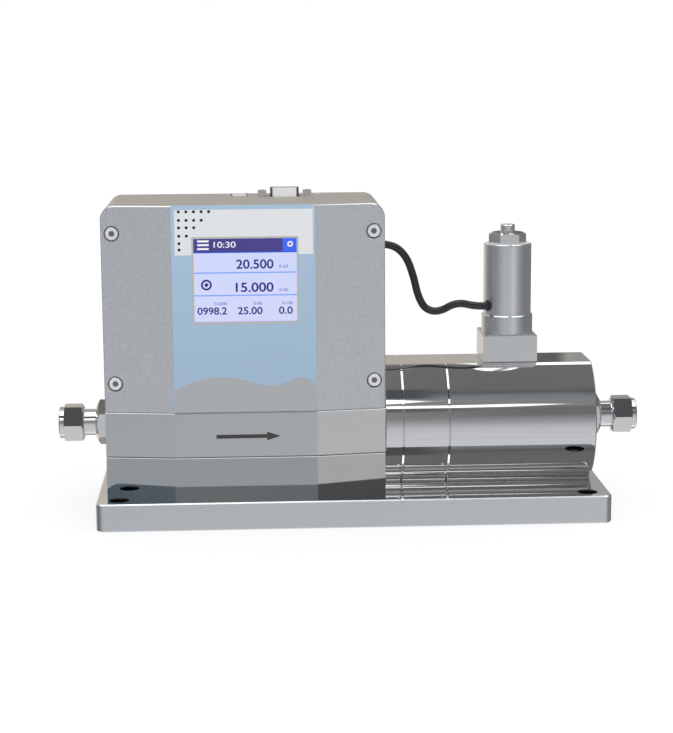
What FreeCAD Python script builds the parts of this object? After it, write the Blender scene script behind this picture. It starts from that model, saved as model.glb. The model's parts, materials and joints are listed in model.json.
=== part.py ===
import FreeCAD, Part
import math
import os
import re

import Sketcher

# A mass flow meter on its base plate: a faceted meter housing at the left, three round
# stainless rings at the right and a proportional valve on top of them.
# X runs along the flow, Y to the back and Z up. The origin is the middle of the plate's
# underside. Every size is in millimetres.

doc = FreeCAD.newDocument("FlowMeter")
sheet = doc.addObject("Spreadsheet::Sheet", "Sizes")

SIZES = {
    "plate_length": 276.0,
    "plate_width": 120.0,
    "plate_height": 15.0,
    "plate_corner": 4.5,
    "plate_edge": 0.6,
    "hole_span_long": 252.0,
    "hole_span_wide": 100.0,
    "hole_bore": 6.6,
    "counterbore_bore": 11.0,
    "counterbore_depth": 6.5,
    "end_margin": 4.75,
    "axis_rise": 32.65,
    "housing_width": 151.0,
    "housing_front": 41.0,
    "housing_depth": 74.5,
    "middle_face": 76.8,
    "facet_fall": 5.6,
    "seam_edge": 0.45,
    "flow_body_height": 24.6,
    "shell_height": 111.1,
    "shell_wall": 4.0,
    "shell_corner": 7.5,
    "rear_cover_wall": 4.0,
    "cover_screw_inset": 6.0,
    "cover_screw_low": 15.65,
    "cover_screw_high": 14.75,
    "cover_screw_shank": 4.0,
    "cover_screw_head": 7.0,
    "cover_screw_head_height": 4.0,
    "cover_screw_grip": 3.0,
    "cover_screw_key": 3.0,
    "screw_recess": 8.3,
    "screw_clearance": 0.2,
    "post_bore": 9.0,
    "foot_screw_inset": 8.0,
    "foot_screw_wide": 24.0,
    "foot_post_height": 10.0,
    "label_width": 76.2,
    "label_wall": 0.4,
    "label_margin": 0.5,
    "window_shift": 0.9,
    "window_drop": 39.7,
    "window_width": 55.7,
    "window_height": 45.7,
    "window_wall": 2.0,
    "window_lap": 0.6,
    "window_fit": 0.1,
    "display_margin": 1.65,
    "display_wall": 3.5,
    "display_post_margin": 3.5,
    "display_post": 5.5,
    "display_board_margin": 3.5,
    "board_wall": 1.6,
    "board_screw": 2.5,
    "board_screw_head": 4.5,
    "board_screw_head_height": 1.6,
    "board_screw_length": 6.0,
    "main_board_width": 108.0,
    "main_board_height": 50.0,
    "main_board_drop": 45.1,
    "main_board_gap": 6.0,
    "main_post_inset": 4.5,
    "dsub_shift": 23.2,
    "dsub_back": 15.0,
    "dsub_width": 16.9,
    "dsub_depth": 8.2,
    "dsub_corner": 2.2,
    "dsub_shell_wall": 0.5,
    "dsub_rise": 4.9,
    "dsub_flange_width": 30.8,
    "dsub_flange_depth": 12.4,
    "dsub_flange_wall": 0.9,
    "dsub_body_depth": 9.0,
    "jack_span": 24.99,
    "jack_hex": 4.75,
    "jack_height": 3.3,
    "jack_bore": 2.4,
    "jack_stud": 2.8,
    "jack_stud_length": 5.0,
    "pin_bore": 1.1,
    "pin_pitch": 2.77,
    "pin_row_pitch": 2.84,
    "pin_depth": 3.5,
    "panel_skin": 1.2,
    "panel_pocket_margin": 1.4,
    "panel_fit": 0.2,
    "connector_board_depth": 22.0,
    "connector_board_margin": 4.0,
    "usb_shift": -1.8,
    "usb_back": 18.0,
    "usb_width": 9.0,
    "usb_depth": 3.2,
    "usb_rise": 1.3,
    "usb_wall": 0.35,
    "usb_mouth": 5.5,
    "top_screw_shift": 42.35,
    "top_screw_back": 24.0,
    "top_screw_head": 4.4,
    "top_screw_head_height": 0.9,
    "top_screw_shank": 3.0,
    "tube_outer": 5.0,
    "tube_inner": 4.0,
    "tube_span": 88.0,
    "tube_gap": 16.0,
    "tube_bend": 16.0,
    "tube_socket": 8.0,
    "brace_rise": 7.0,
    "brace_wall": 2.0,
    "brace_margin": 2.5,
    "clamp_gap": 0.5,
    "clamp_length": 8.0,
    "clamp_margin": 1.8,
    "magnet_bore": 4.0,
    "magnet_reach": 4.2,
    "coil_outer": 8.0,
    "coil_inner": 5.0,
    "coil_reach": 4.6,
    "flow_bore": 6.0,
    "port_bore": 13.2,
    "port_depth": 10.0,
    "port_seal_outer": 17.0,
    "port_seal_wall": 1.2,
    "clamp_screw_inset": 20.5,
    "clamp_screw_back": 10.5,
    "clamp_screw_front": 12.4,
    "clamp_screw_shank": 5.0,
    "clamp_screw_head": 8.5,
    "clamp_screw_head_height": 5.0,
    "clamp_screw_thread": 12.0,
    "clamp_screw_key": 4.0,
    "base_screw_inset": 30.5,
    "base_screw_wide": 40.0,
    "round_radius": 36.25,
    "ring_edge": 0.6,
    "adapter_length": 10.0,
    "coupling_length": 25.0,
    "valve_body_length": 80.5,
    "ring_seal_outer": 12.0,
    "ring_seal_wall": 1.4,
    "tie_span": 48.0,
    "tie_rise": 14.0,
    "tie_thread": 14.0,
    "valve_inset": 45.0,
    "valve_body_screw_span": 54.0,
    "block_side": 29.8,
    "block_height": 15.4,
    "block_edge": 0.6,
    "collar_radius": 14.1,
    "collar_height": 10.1,
    "can_radius": 13.2,
    "can_height": 39.3,
    "can_wall": 1.6,
    "can_top": 2.0,
    "can_edge": 0.9,
    "coil_nut_hex": 18.0,
    "coil_nut_height": 5.9,
    "stub_radius": 4.0,
    "stub_height": 4.3,
    "guide_outer": 6.0,
    "guide_flange": 8.0,
    "guide_flange_height": 3.0,
    "guide_plug": 6.8,
    "guide_clearance": 0.06,
    "chamber_radius": 6.8,
    "chamber_depth": 5.0,
    "guide_seal_wall": 1.0,
    "seat_radius": 3.2,
    "seat_foot": 3.0,
    "seat_rise": 2.5,
    "seat_mouth": 1.3,
    "orifice_radius": 0.6,
    "riser_radius": 1.4,
    "riser_shift": 5.0,
    "bore_overrun": 0.5,
    "plunger_radius": 4.5,
    "plunger_seal_radius": 2.4,
    "plunger_seal_wall": 1.4,
    "spring_radius": 3.2,
    "spring_wire": 0.5,
    "spring_turns": 4.5,
    "spring_length": 11.5,
    "bobbin_wall": 0.8,
    "bobbin_flange": 1.2,
    "bobbin_flange_radius": 11.2,
    "winding_radius": 10.8,
    "coil_fit": 0.1,
    "fitting_hex": 22.0,
    "fitting_hex_face": 8.8,
    "fitting_hex_length": 7.5,
    "neck_radius": 7.3,
    "neck_length": 11.0,
    "nut_hex": 19.0,
    "nut_hex_face": 8.4,
    "nut_gap": 6.35,
    "nut_hex_length": 11.1,
    "nose_radius": 8.75,
    "nose_length": 2.8,
    "tube_socket_radius": 5.05,
    "tube_stop": 6.0,
    "ferrule_seat": 2.0,
    "ferrule_seat_rise": 1.15,
    "ferrule_front": 1.1,
    "ferrule_back": 2.0,
    "ferrule_taper": 1.1,
    "ferrule_gap": 0.3,
    "cable_diameter": 4.2,
    "cable_exit_drop": 25.75,
    "cable_exit_back": -3.0,
    "grommet_radius": 4.0,
    "grommet_proud": 0.4,
    "cable_entry_rise": 5.2,
    "cable_entry_turn": 30.0,
    "cable_entry_radius": 3.0,
    "cable_lead_out": 6.0,
    "cable_lead_in": 7.0,
}

for row, (name, size) in enumerate(SIZES.items(), start=1):
    sheet.set(f"A{row}", name)
    sheet.set(f"B{row}", str(size))
    sheet.setAlias(f"B{row}", name)
doc.recompute()

# Places that several pieces share, written as formulas on the sizes above.
HOUSING_X = "(end_margin + housing_width / 2 - plate_length / 2)"
HOUSING_RIGHT = "(end_margin + housing_width - plate_length / 2)"
AXIS_Z = "(plate_height + axis_rise)"
BLOCK_HEIGHT = "(axis_rise - flow_body_height / 2)"
FLOW_BODY_Z = "(plate_height + axis_rise - flow_body_height / 2)"
SHELL_Z = "(plate_height + axis_rise + flow_body_height / 2)"
SHELL_TOP = f"({SHELL_Z} + shell_height)"
BACK_Y = "(housing_depth - housing_front)"
SHELL_BACK = f"({BACK_Y} - rear_cover_wall)"
COVER_SCREW_X = "(housing_width / 2 - cover_screw_inset)"
FACET_SHARE = f"((2 * {COVER_SCREW_X} - middle_face) / (housing_width - middle_face))"
SCREW_FACE = f"(housing_front - facet_fall * {FACET_SHARE})"
WINDOW_X = f"({HOUSING_X} + window_shift)"
WINDOW_RISE = "(shell_height - window_drop)"
WINDOW_Z = f"({SHELL_Z} + {WINDOW_RISE})"
DISPLAY_WIDTH = "(window_width + 2 * display_margin)"
DISPLAY_HEIGHT = "(window_height + 2 * display_margin)"
DISPLAY_SPAN_X = f"({DISPLAY_WIDTH} + 2 * display_post_margin)"
DISPLAY_SPAN_Z = f"({DISPLAY_HEIGHT} + 2 * display_post_margin)"
MAIN_BOARD_RISE = "(shell_height - main_board_drop)"
CABLE_EXIT_RISE = "(shell_height - cable_exit_drop)"
LEG_RISE = "(brace_rise + brace_wall + clamp_length + 2 * clamp_gap)"
TUBE_RISE = f"({LEG_RISE} + tube_bend)"
ADAPTER_X = HOUSING_RIGHT
COUPLING_X = f"({HOUSING_RIGHT} + adapter_length)"
VALVE_BODY_X = f"({COUPLING_X} + coupling_length)"
ROUND_END = f"({VALVE_BODY_X} + valve_body_length)"
VALVE_X = f"({ROUND_END} - valve_inset)"
FLAT_Z = "(plate_height + 2 * axis_rise)"
COLLAR_Z = f"({FLAT_Z} + block_height)"
CAN_Z = f"({COLLAR_Z} + collar_height)"
COIL_NUT_Z = f"({CAN_Z} + can_height)"
FITTING_LENGTH = "(fitting_hex_length + nut_gap + nut_hex_length + nose_length)"
NUT_START = "(fitting_hex_length + nut_gap)"
NECK_END = "(fitting_hex_length + neck_length)"
CAN_INSIDE_TOP = "(block_height + collar_height + can_height - can_top)"
GUIDE_BORE_TOP = f"({CAN_INSIDE_TOP} - guide_plug)"
SEAT_TOP = "(seat_rise - chamber_depth)"
PLUNGER_LENGTH = f"({GUIDE_BORE_TOP} - {SEAT_TOP} - spring_length)"

parts = []


def bind(formula):
    """Points every size name in a formula at its cell on the sheet."""
    return re.sub(r"[a-z][a-z_]+[a-z]", lambda found: cell(found.group(0)), formula)


def cell(word):
    if word in SIZES:
        return "Sizes." + word
    return word


def number(formula):
    return float(sheet.evalExpression(bind(str(formula))))


def drive(thing, path, formula):
    thing.setExpression(path, bind(str(formula)))


def place(thing, x="0", y="0", z="0", turn=None):
    if turn is not None:
        thing.Placement = FreeCAD.Placement(FreeCAD.Vector(), turn)
    drive(thing, "Placement.Base.x", x)
    drive(thing, "Placement.Base.y", y)
    drive(thing, "Placement.Base.z", z)


def keep(thing, label):
    """Marks a finished piece, which gets a file of its own."""
    thing.Label = label
    parts.append(thing)
    return thing


def group(label, members):
    """Identical pieces share one node as separate solids."""
    bundle = doc.addObject("Part::Compound", label)
    bundle.Links = members
    return keep(bundle, label)


# Sketch and feature helpers


def new_body(name):
    return doc.addObject("PartDesign::Body", name)


def sketch(body, plane, offset="0"):
    drawn = body.newObject("Sketcher::SketchObject", "Sketch")
    support = [one for one in body.Origin.OriginFeatures if one.Role == plane][0]
    drawn.AttachmentSupport = [(support, "")]
    drawn.MapMode = "FlatFace"
    drive(drawn, "AttachmentOffset.Base.z", offset)
    return drawn


def pin_point(drawn, line, end, x, y):
    """Fixes a sketch point at two formulas measured from the origin."""
    for axis, kind, formula in ((-2, "DistanceX", x), (-1, "DistanceY", y)):
        if formula == "0":
            drawn.addConstraint(Sketcher.Constraint("PointOnObject", line, end, axis))
            continue
        rule = Sketcher.Constraint(kind, -1, 1, line, end, number(formula))
        index = drawn.addConstraint(rule)
        drive(drawn, f"Constraints[{index}]", formula)


def polygon(drawn, corners):
    spots = [FreeCAD.Vector(number(x), number(y), 0) for x, y in corners]
    first = drawn.GeometryCount
    count = len(corners)
    for index in range(count):
        drawn.addGeometry(Part.LineSegment(spots[index], spots[(index + 1) % count]), False)
    for index in range(count):
        after = first + (index + 1) % count
        drawn.addConstraint(Sketcher.Constraint("Coincident", first + index, 2, after, 1))
    for index, (x, y) in enumerate(corners):
        pin_point(drawn, first + index, 1, x, y)


def rectangle(drawn, x0, y0, x1, y1):
    polygon(drawn, [(x0, y0), (x1, y0), (x1, y1), (x0, y1)])


CORNER_UP = 90.0


def hexagon(drawn, flats, turn=0.0):
    """A hexagon by its size across flats, with its first corner turned from the sketch's own X."""
    corners = []
    for step in range(6):
        angle = math.radians(turn + 60.0 * step)
        reach = 1.0 / math.sqrt(3.0)
        x = f"({flats}) * ({reach * math.cos(angle):.9f})"
        y = f"({flats}) * ({reach * math.sin(angle):.9f})"
        corners.append((x, y))
    polygon(drawn, corners)


def circle(drawn, radius, x="0", y="0"):
    middle = FreeCAD.Vector(number(x), number(y), 0)
    line = drawn.addGeometry(Part.Circle(middle, FreeCAD.Vector(0, 0, 1), number(radius)), False)
    index = drawn.addConstraint(Sketcher.Constraint("Radius", line, number(radius)))
    drive(drawn, f"Constraints[{index}]", radius)
    pin_point(drawn, line, 3, x, y)


def feature(body, kind, drawn, length, reverse=False):
    made = body.newObject("PartDesign::" + kind, kind)
    made.Profile = drawn
    made.Reversed = reverse
    drive(made, "Length", length)
    drawn.Visibility = False
    return made


def pad(body, drawn, length, reverse=False):
    return feature(body, "Pad", drawn, length, reverse)


def pocket(body, drawn, length, reverse=False):
    before = settled_volume(body)
    made = feature(body, "Pocket", drawn, length, reverse)
    check_cut(body, made, before)
    return made


def turned(body, profile, kind="Revolution", plane="XZ_Plane", axis="H_Axis"):
    """Turns a closed profile about the sketch's own axis."""
    before = settled_volume(body)
    drawn = sketch(body, plane)
    polygon(drawn, profile)
    made = body.newObject("PartDesign::" + kind, kind)
    made.Profile = drawn
    made.ReferenceAxis = (drawn, [axis])
    made.Angle = 360.0
    if kind == "Groove":
        check_cut(body, made, before)
    return made


def bored(body, profile, axis="H_Axis"):
    return turned(body, profile, "Groove", axis=axis)


def settled_volume(body):
    doc.recompute()
    if body.Tip is None:
        return 0.0
    return body.Shape.Volume


def check_cut(body, made, before):
    doc.recompute()
    if not body.Shape.Volume < before - 1e-6:
        raise ValueError(f"{body.Name} {made.Name} cuts nothing")


def edges(body, test):
    doc.recompute()
    found = enumerate(body.Tip.Shape.Edges, start=1)
    return [f"Edge{index}" for index, edge in found if test(edge)]


def dress(body, kind, names, size_name, formula):
    base = body.Tip
    made = body.newObject("PartDesign::" + kind, kind)
    made.Base = (base, names)
    drive(made, size_name, formula)
    doc.recompute()
    return made


def fillet(body, names, radius):
    return dress(body, "Fillet", names, "Radius", radius)


def chamfer(body, names, size):
    return dress(body, "Chamfer", names, "Size", size)


def near(value, target):
    return abs(value - target) < 1e-4


def ends_at(edge, axis, value):
    """True for an edge that lies wholly at one level of an axis."""
    box = edge.BoundBox
    low = (box.XMin, box.YMin, box.ZMin)[axis]
    high = (box.XMax, box.YMax, box.ZMax)[axis]
    return near(low, value) and near(high, value)


def stacked_plan(inset="0", back=BACK_Y):
    """Corners of the faceted plan: a flat middle face with two falling side faces."""
    side = f"(housing_width / 2 - {inset})"
    middle = f"(middle_face / 2 - {inset} * 0.075)"
    front = f"(housing_front - {inset})"
    return [
        (f"-{side}", back), (f"-{side}", f"facet_fall - {front}"), (f"-{middle}", f"-{front}"),
        (middle, f"-{front}"), (side, f"facet_fall - {front}"), (side, back),
    ]


def turned_ring(body, inner, outer, start, length):
    """A plain ring about X, from one end to the other."""
    end = f"({start} + {length})"
    return turned(body, [(start, inner), (end, inner), (end, outer), (start, outer)])


def upright_ring(name, inner, outer, bottom, height):
    body = new_body(name)
    drawn = sketch(body, "XY_Plane", bottom)
    circle(drawn, outer)
    if inner != "0":
        circle(drawn, inner)
    pad(body, drawn, height)
    return body


def cap_screw(name, shank, head, head_height, length, key):
    """A socket head screw that stands on its head's underside and points down."""
    body = new_body(name)
    turned(body, [
        ("0", f"-({length})"), (f"{shank} / 2", f"-({length})"), (f"{shank} / 2", "0"),
        (f"{head} / 2", "0"), (f"{head} / 2", head_height), ("0", head_height),
    ], axis="V_Axis")
    socket = sketch(body, "XY_Plane", head_height)
    hexagon(socket, key)
    pocket(body, socket, f"{head_height} / 2")
    rim = number(head_height)
    wide = number(f"{head} / 2")
    tops = edges(body, lambda edge: ends_at(edge, 2, rim) and near(edge.BoundBox.XMax, wide))
    chamfer(body, tops, f"{head} / 20")
    return body


def make_base_plate():
    body = new_body("base_plate_body")
    drawn = sketch(body, "XY_Plane")
    rectangle(drawn, "-plate_length / 2", "-plate_width / 2", "plate_length / 2", "plate_width / 2")
    pad(body, drawn, "plate_height")
    corners = edges(body, lambda edge: near(edge.BoundBox.ZLength, number("plate_height")))
    fillet(body, corners, "plate_corner")
    top = number("plate_height")
    rims = edges(body, lambda edge: ends_at(edge, 2, top) or ends_at(edge, 2, 0.0))
    chamfer(body, rims, "plate_edge")
    wells = sketch(body, "XY_Plane", "plate_height")
    holes = sketch(body, "XY_Plane", "plate_height")
    for x in ("-hole_span_long / 2", "hole_span_long / 2"):
        for y in ("-hole_span_wide / 2", "hole_span_wide / 2"):
            circle(wells, "counterbore_bore / 2", x, y)
            circle(holes, "hole_bore / 2", x, y)
    pocket(body, wells, "counterbore_depth")
    pocket(body, holes, "plate_height")
    under = sketch(body, "XY_Plane")
    through = sketch(body, "XY_Plane")
    for x, y in base_screw_places():
        circle(under, "clamp_screw_head / 2 + screw_clearance", x, y)
        circle(through, "clamp_screw_shank / 2 + screw_clearance", x, y)
    pocket(body, under, "clamp_screw_head_height + screw_clearance", True)
    pocket(body, through, "plate_height", True)
    return keep(body, "base_plate")


def base_screw_places():
    """The block at the left and the valve body at the right are bolted from below."""
    places = []
    reach = "(housing_width / 2 - base_screw_inset)"
    for x in (f"{HOUSING_X} - {reach}", f"{HOUSING_X} + {reach}"):
        places += [(x, "-base_screw_wide / 2"), (x, "base_screw_wide / 2")]
    for side in ("-", "+"):
        places.append((f"{VALVE_X} {side} valve_body_screw_span / 2", "0"))
    return places


def make_base_block():
    body = new_body("base_block_body")
    drawn = sketch(body, "XY_Plane")
    polygon(drawn, stacked_plan())
    pad(body, drawn, BLOCK_HEIGHT)
    rims = edges(body, lambda edge: ends_at(edge, 2, number(BLOCK_HEIGHT)))
    chamfer(body, rims, "seam_edge")
    under = sketch(body, "XY_Plane")
    reach = "(housing_width / 2 - base_screw_inset)"
    for x in (f"-{reach}", reach):
        for y in ("-base_screw_wide / 2", "base_screw_wide / 2"):
            circle(under, "clamp_screw_shank / 2", x, y)
    pocket(body, under, "clamp_screw_thread", True)
    top = sketch(body, "XY_Plane", BLOCK_HEIGHT)
    for x, y in clamp_screw_places():
        circle(top, "clamp_screw_shank / 2", x, y)
    pocket(body, top, "clamp_screw_thread")
    place(body, HOUSING_X, "0", "plate_height")
    return keep(body, "base_block")


def clamp_screw_places():
    reach = "(housing_width / 2 - clamp_screw_inset)"
    front = "(facet_fall + clamp_screw_front - housing_front)"
    back = f"({BACK_Y} - clamp_screw_back)"
    return [(x, y) for x in (f"-{reach}", reach) for y in (front, back)]


def foot_screw_places():
    reach = "(housing_width / 2 - foot_screw_inset)"
    side = "foot_screw_wide / 2"
    return [(x, y) for x in (f"-{reach}", reach) for y in (f"-{side}", side)]


def tie_places():
    return [(f"{a}tie_span / 2", f"{b}tie_rise / 2") for a in ("-", "") for b in ("-", "")]


def make_flow_body():
    body = new_body("flow_body_body")
    middle = "flow_body_height / 2"
    drawn = sketch(body, "XY_Plane")
    polygon(drawn, stacked_plan())
    pad(body, drawn, "flow_body_height")
    levels = (0.0, number("flow_body_height"))
    rims = edges(body, lambda edge: any(ends_at(edge, 2, level) for level in levels))
    chamfer(body, rims, "seam_edge")
    # The inlet port, its seal seat and the bore to the first tube sockets
    for radius, depth in (
        ("port_bore / 2", "port_depth"),
        ("port_seal_outer / 2", "port_seal_wall"),
        ("flow_bore / 2", "housing_width / 2 - tube_span / 2"),
    ):
        drawn = sketch(body, "YZ_Plane", f"{depth} - housing_width / 2")
        circle(drawn, radius, "0", middle)
        pocket(body, drawn, depth)
    # The bore from the second tube sockets to the first round ring
    drawn = sketch(body, "YZ_Plane", "housing_width / 2")
    circle(drawn, "flow_bore / 2", "0", middle)
    pocket(body, drawn, "housing_width / 2 - tube_span / 2")
    # Cross bores join the two tubes, and a socket takes each tube end
    cross = sketch(body, "XZ_Plane", "tube_gap / 2")
    sockets = sketch(body, "XY_Plane", "flow_body_height")
    risers = sketch(body, "XY_Plane", "flow_body_height")
    for x in ("-tube_span / 2", "tube_span / 2"):
        circle(cross, "flow_bore / 2", x, middle)
        for y in ("-tube_gap / 2", "tube_gap / 2"):
            circle(sockets, "tube_outer / 2", x, y)
            circle(risers, "tube_inner / 2", x, y)
    pocket(body, cross, "tube_gap")
    pocket(body, sockets, "tube_socket")
    pocket(body, risers, middle)
    # Screws down into the block, screws up into the shell and tie rods from the right
    wells = sketch(body, "XY_Plane", "flow_body_height")
    holes = sketch(body, "XY_Plane", "flow_body_height")
    for x, y in clamp_screw_places():
        circle(wells, "clamp_screw_head / 2 + screw_clearance", x, y)
        circle(holes, "clamp_screw_shank / 2 + screw_clearance", x, y)
    pocket(body, wells, "clamp_screw_head_height + screw_clearance")
    pocket(body, holes, "flow_body_height")
    wells = sketch(body, "XY_Plane")
    holes = sketch(body, "XY_Plane")
    for x, y in foot_screw_places():
        circle(wells, "cover_screw_head / 2 + screw_clearance", x, y)
        circle(holes, "cover_screw_shank / 2 + screw_clearance", x, y)
    pocket(body, wells, "cover_screw_head_height + screw_clearance", True)
    pocket(body, holes, "flow_body_height", True)
    ties = sketch(body, "YZ_Plane", "housing_width / 2")
    for y, z in tie_places():
        circle(ties, "clamp_screw_shank / 2", y, f"{middle} + {z}")
    pocket(body, ties, "tie_thread")
    place(body, HOUSING_X, "0", FLOW_BODY_Z)
    return keep(body, "flow_body")


def cover_screw_places():
    levels = ("cover_screw_low", "shell_height - cover_screw_high")
    return [(x, z) for x in (f"-{COVER_SCREW_X}", COVER_SCREW_X) for z in levels]


def display_post_places():
    places = []
    for a in ("-", "+"):
        for b in ("-", "+"):
            x = f"window_shift {a} {DISPLAY_SPAN_X} / 2"
            places.append((x, f"{WINDOW_RISE} {b} {DISPLAY_SPAN_Z} / 2"))
    return places


def make_housing_shell():
    body = new_body("housing_shell_body")
    drawn = sketch(body, "XY_Plane")
    polygon(drawn, stacked_plan("0", SHELL_BACK))
    pad(body, drawn, "shell_height")
    top = number("shell_height")
    side = number("housing_width / 2")
    corners = edges(body, lambda edge: ends_at(edge, 2, top)
                    and (ends_at(edge, 0, side) or ends_at(edge, 0, -side)))
    fillet(body, corners, "shell_corner")
    back = number(SHELL_BACK)
    rims = edges(body, lambda edge: ends_at(edge, 2, top) and edge.BoundBox.YMax < 0.0)
    rims += edges(body, lambda edge: ends_at(edge, 2, 0.0) and edge.BoundBox.YMax < back - 1.0)
    chamfer(body, rims, "seam_edge")
    # The hollow, open at the bottom and the back
    hollow = sketch(body, "XY_Plane")
    polygon(hollow, stacked_plan("shell_wall", SHELL_BACK))
    pocket(body, hollow, "shell_height - shell_wall", True)
    # Cast posts for the long cover screws and for the foot screws
    posts = sketch(body, "XZ_Plane", f"-{SHELL_BACK}")
    for x, z in cover_screw_places():
        circle(posts, "post_bore / 2", x, z)
    pad(body, posts, f"{SHELL_BACK} + housing_front - facet_fall - shell_wall / 2")
    feet = sketch(body, "XY_Plane")
    for x, y in foot_screw_places():
        circle(feet, "post_bore / 2", x, y)
    pad(body, feet, "foot_post_height")
    holes = sketch(body, "XY_Plane")
    for x, y in foot_screw_places():
        circle(holes, "cover_screw_shank / 2", x, y)
    pocket(body, holes, "foot_post_height - seam_edge", True)
    posts = sketch(body, "XZ_Plane", "housing_front - shell_wall / 2")
    for x, z in display_post_places():
        circle(posts, "display_post / 2", x, z)
    pad(body, posts, "shell_wall / 2 + display_wall", True)
    # Screw recesses in the facets, with clearance holes right through the posts
    wells = sketch(body, "XZ_Plane", "housing_front")
    holes = sketch(body, "XZ_Plane", "housing_front")
    for x, z in cover_screw_places():
        circle(wells, "screw_recess / 2", x, z)
        circle(holes, "cover_screw_shank / 2 + screw_clearance", x, z)
    pocket(body, wells, f"housing_front - {SCREW_FACE} + cover_screw_head_height")
    pocket(body, holes, "housing_depth")
    holes = sketch(body, "XZ_Plane", "housing_front - shell_wall")
    for x, z in display_post_places():
        circle(holes, "board_screw / 2", x, z)
    pocket(body, holes, "display_wall")
    # The display window in the middle face
    window = sketch(body, "XZ_Plane", "housing_front")
    rectangle(
        window, "window_shift - window_width / 2", f"{WINDOW_RISE} - window_height / 2",
        "window_shift + window_width / 2", f"{WINDOW_RISE} + window_height / 2",
    )
    pocket(body, window, "shell_wall")
    # The top wall is thin where the connectors come through
    thin = sketch(body, "XY_Plane", "shell_height - shell_wall")
    wide = "(dsub_flange_width / 2 + panel_pocket_margin)"
    deep = "(dsub_flange_depth / 2 + panel_pocket_margin)"
    rectangle(
        thin, f"dsub_shift - {wide}", f"dsub_back - {deep}",
        f"dsub_shift + {wide}", f"dsub_back + {deep}",
    )
    pocket(body, thin, "shell_wall - panel_skin", True)
    cuts = sketch(body, "XY_Plane", "shell_height")
    wide = "(dsub_width / 2 + panel_fit)"
    deep = "(dsub_depth / 2 + panel_fit)"
    rectangle(
        cuts, f"dsub_shift - {wide}", f"dsub_back - {deep}",
        f"dsub_shift + {wide}", f"dsub_back + {deep}",
    )
    for side_sign in ("-", "+"):
        circle(cuts, "jack_stud / 2 + panel_fit", f"dsub_shift {side_sign} jack_span / 2", "dsub_back")
    wide = "(usb_width / 2 + panel_fit)"
    deep = "(usb_depth / 2 + panel_fit)"
    rectangle(
        cuts, f"usb_shift - {wide}", f"usb_back - {deep}",
        f"usb_shift + {wide}", f"usb_back + {deep}",
    )
    circle(cuts, "top_screw_shank / 2", "top_screw_shift", "top_screw_back")
    pocket(body, cuts, "shell_wall")
    # The cable outlet in the right side
    outlet = sketch(body, "YZ_Plane", "housing_width / 2")
    circle(outlet, "grommet_radius", "cable_exit_back", CABLE_EXIT_RISE)
    pocket(body, outlet, "shell_wall")
    place(body, HOUSING_X, "0", SHELL_Z)
    return keep(body, "housing_shell")


def make_rear_cover():
    body = new_body("rear_cover_body")
    drawn = sketch(body, "XZ_Plane", f"-{BACK_Y}")
    rectangle(drawn, "-housing_width / 2", "0", "housing_width / 2", "shell_height")
    pad(body, drawn, "rear_cover_wall")
    top = number("shell_height")
    corners = edges(body, lambda edge: ends_at(edge, 2, top) and edge.BoundBox.XLength < 1.0)
    fillet(body, corners, "shell_corner")
    back = number(BACK_Y)
    rims = edges(body, lambda edge: ends_at(edge, 1, back))
    chamfer(body, rims, "seam_edge")
    posts = sketch(body, "XZ_Plane", f"-{SHELL_BACK}")
    for x, z in main_post_places():
        circle(posts, "display_post / 2", x, z)
    pad(body, posts, "main_board_gap")
    holes = sketch(body, "XZ_Plane", f"main_board_gap - {SHELL_BACK}")
    for x, z in main_post_places():
        circle(holes, "board_screw / 2", x, z)
    pocket(body, holes, "main_board_gap")
    holes = sketch(body, "XZ_Plane", f"-{SHELL_BACK}")
    for x, z in cover_screw_places():
        circle(holes, "cover_screw_shank / 2", x, z)
    pocket(body, holes, "cover_screw_grip")
    place(body, HOUSING_X, "0", SHELL_Z)
    return keep(body, "rear_cover")


def main_post_places():
    places = []
    for a in ("-", ""):
        for b in ("-", "+"):
            x = f"{a}(main_board_width / 2 - main_post_inset)"
            z = f"{MAIN_BOARD_RISE} {b} (main_board_height / 2 - main_post_inset)"
            places.append((x, z))
    return places


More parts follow.
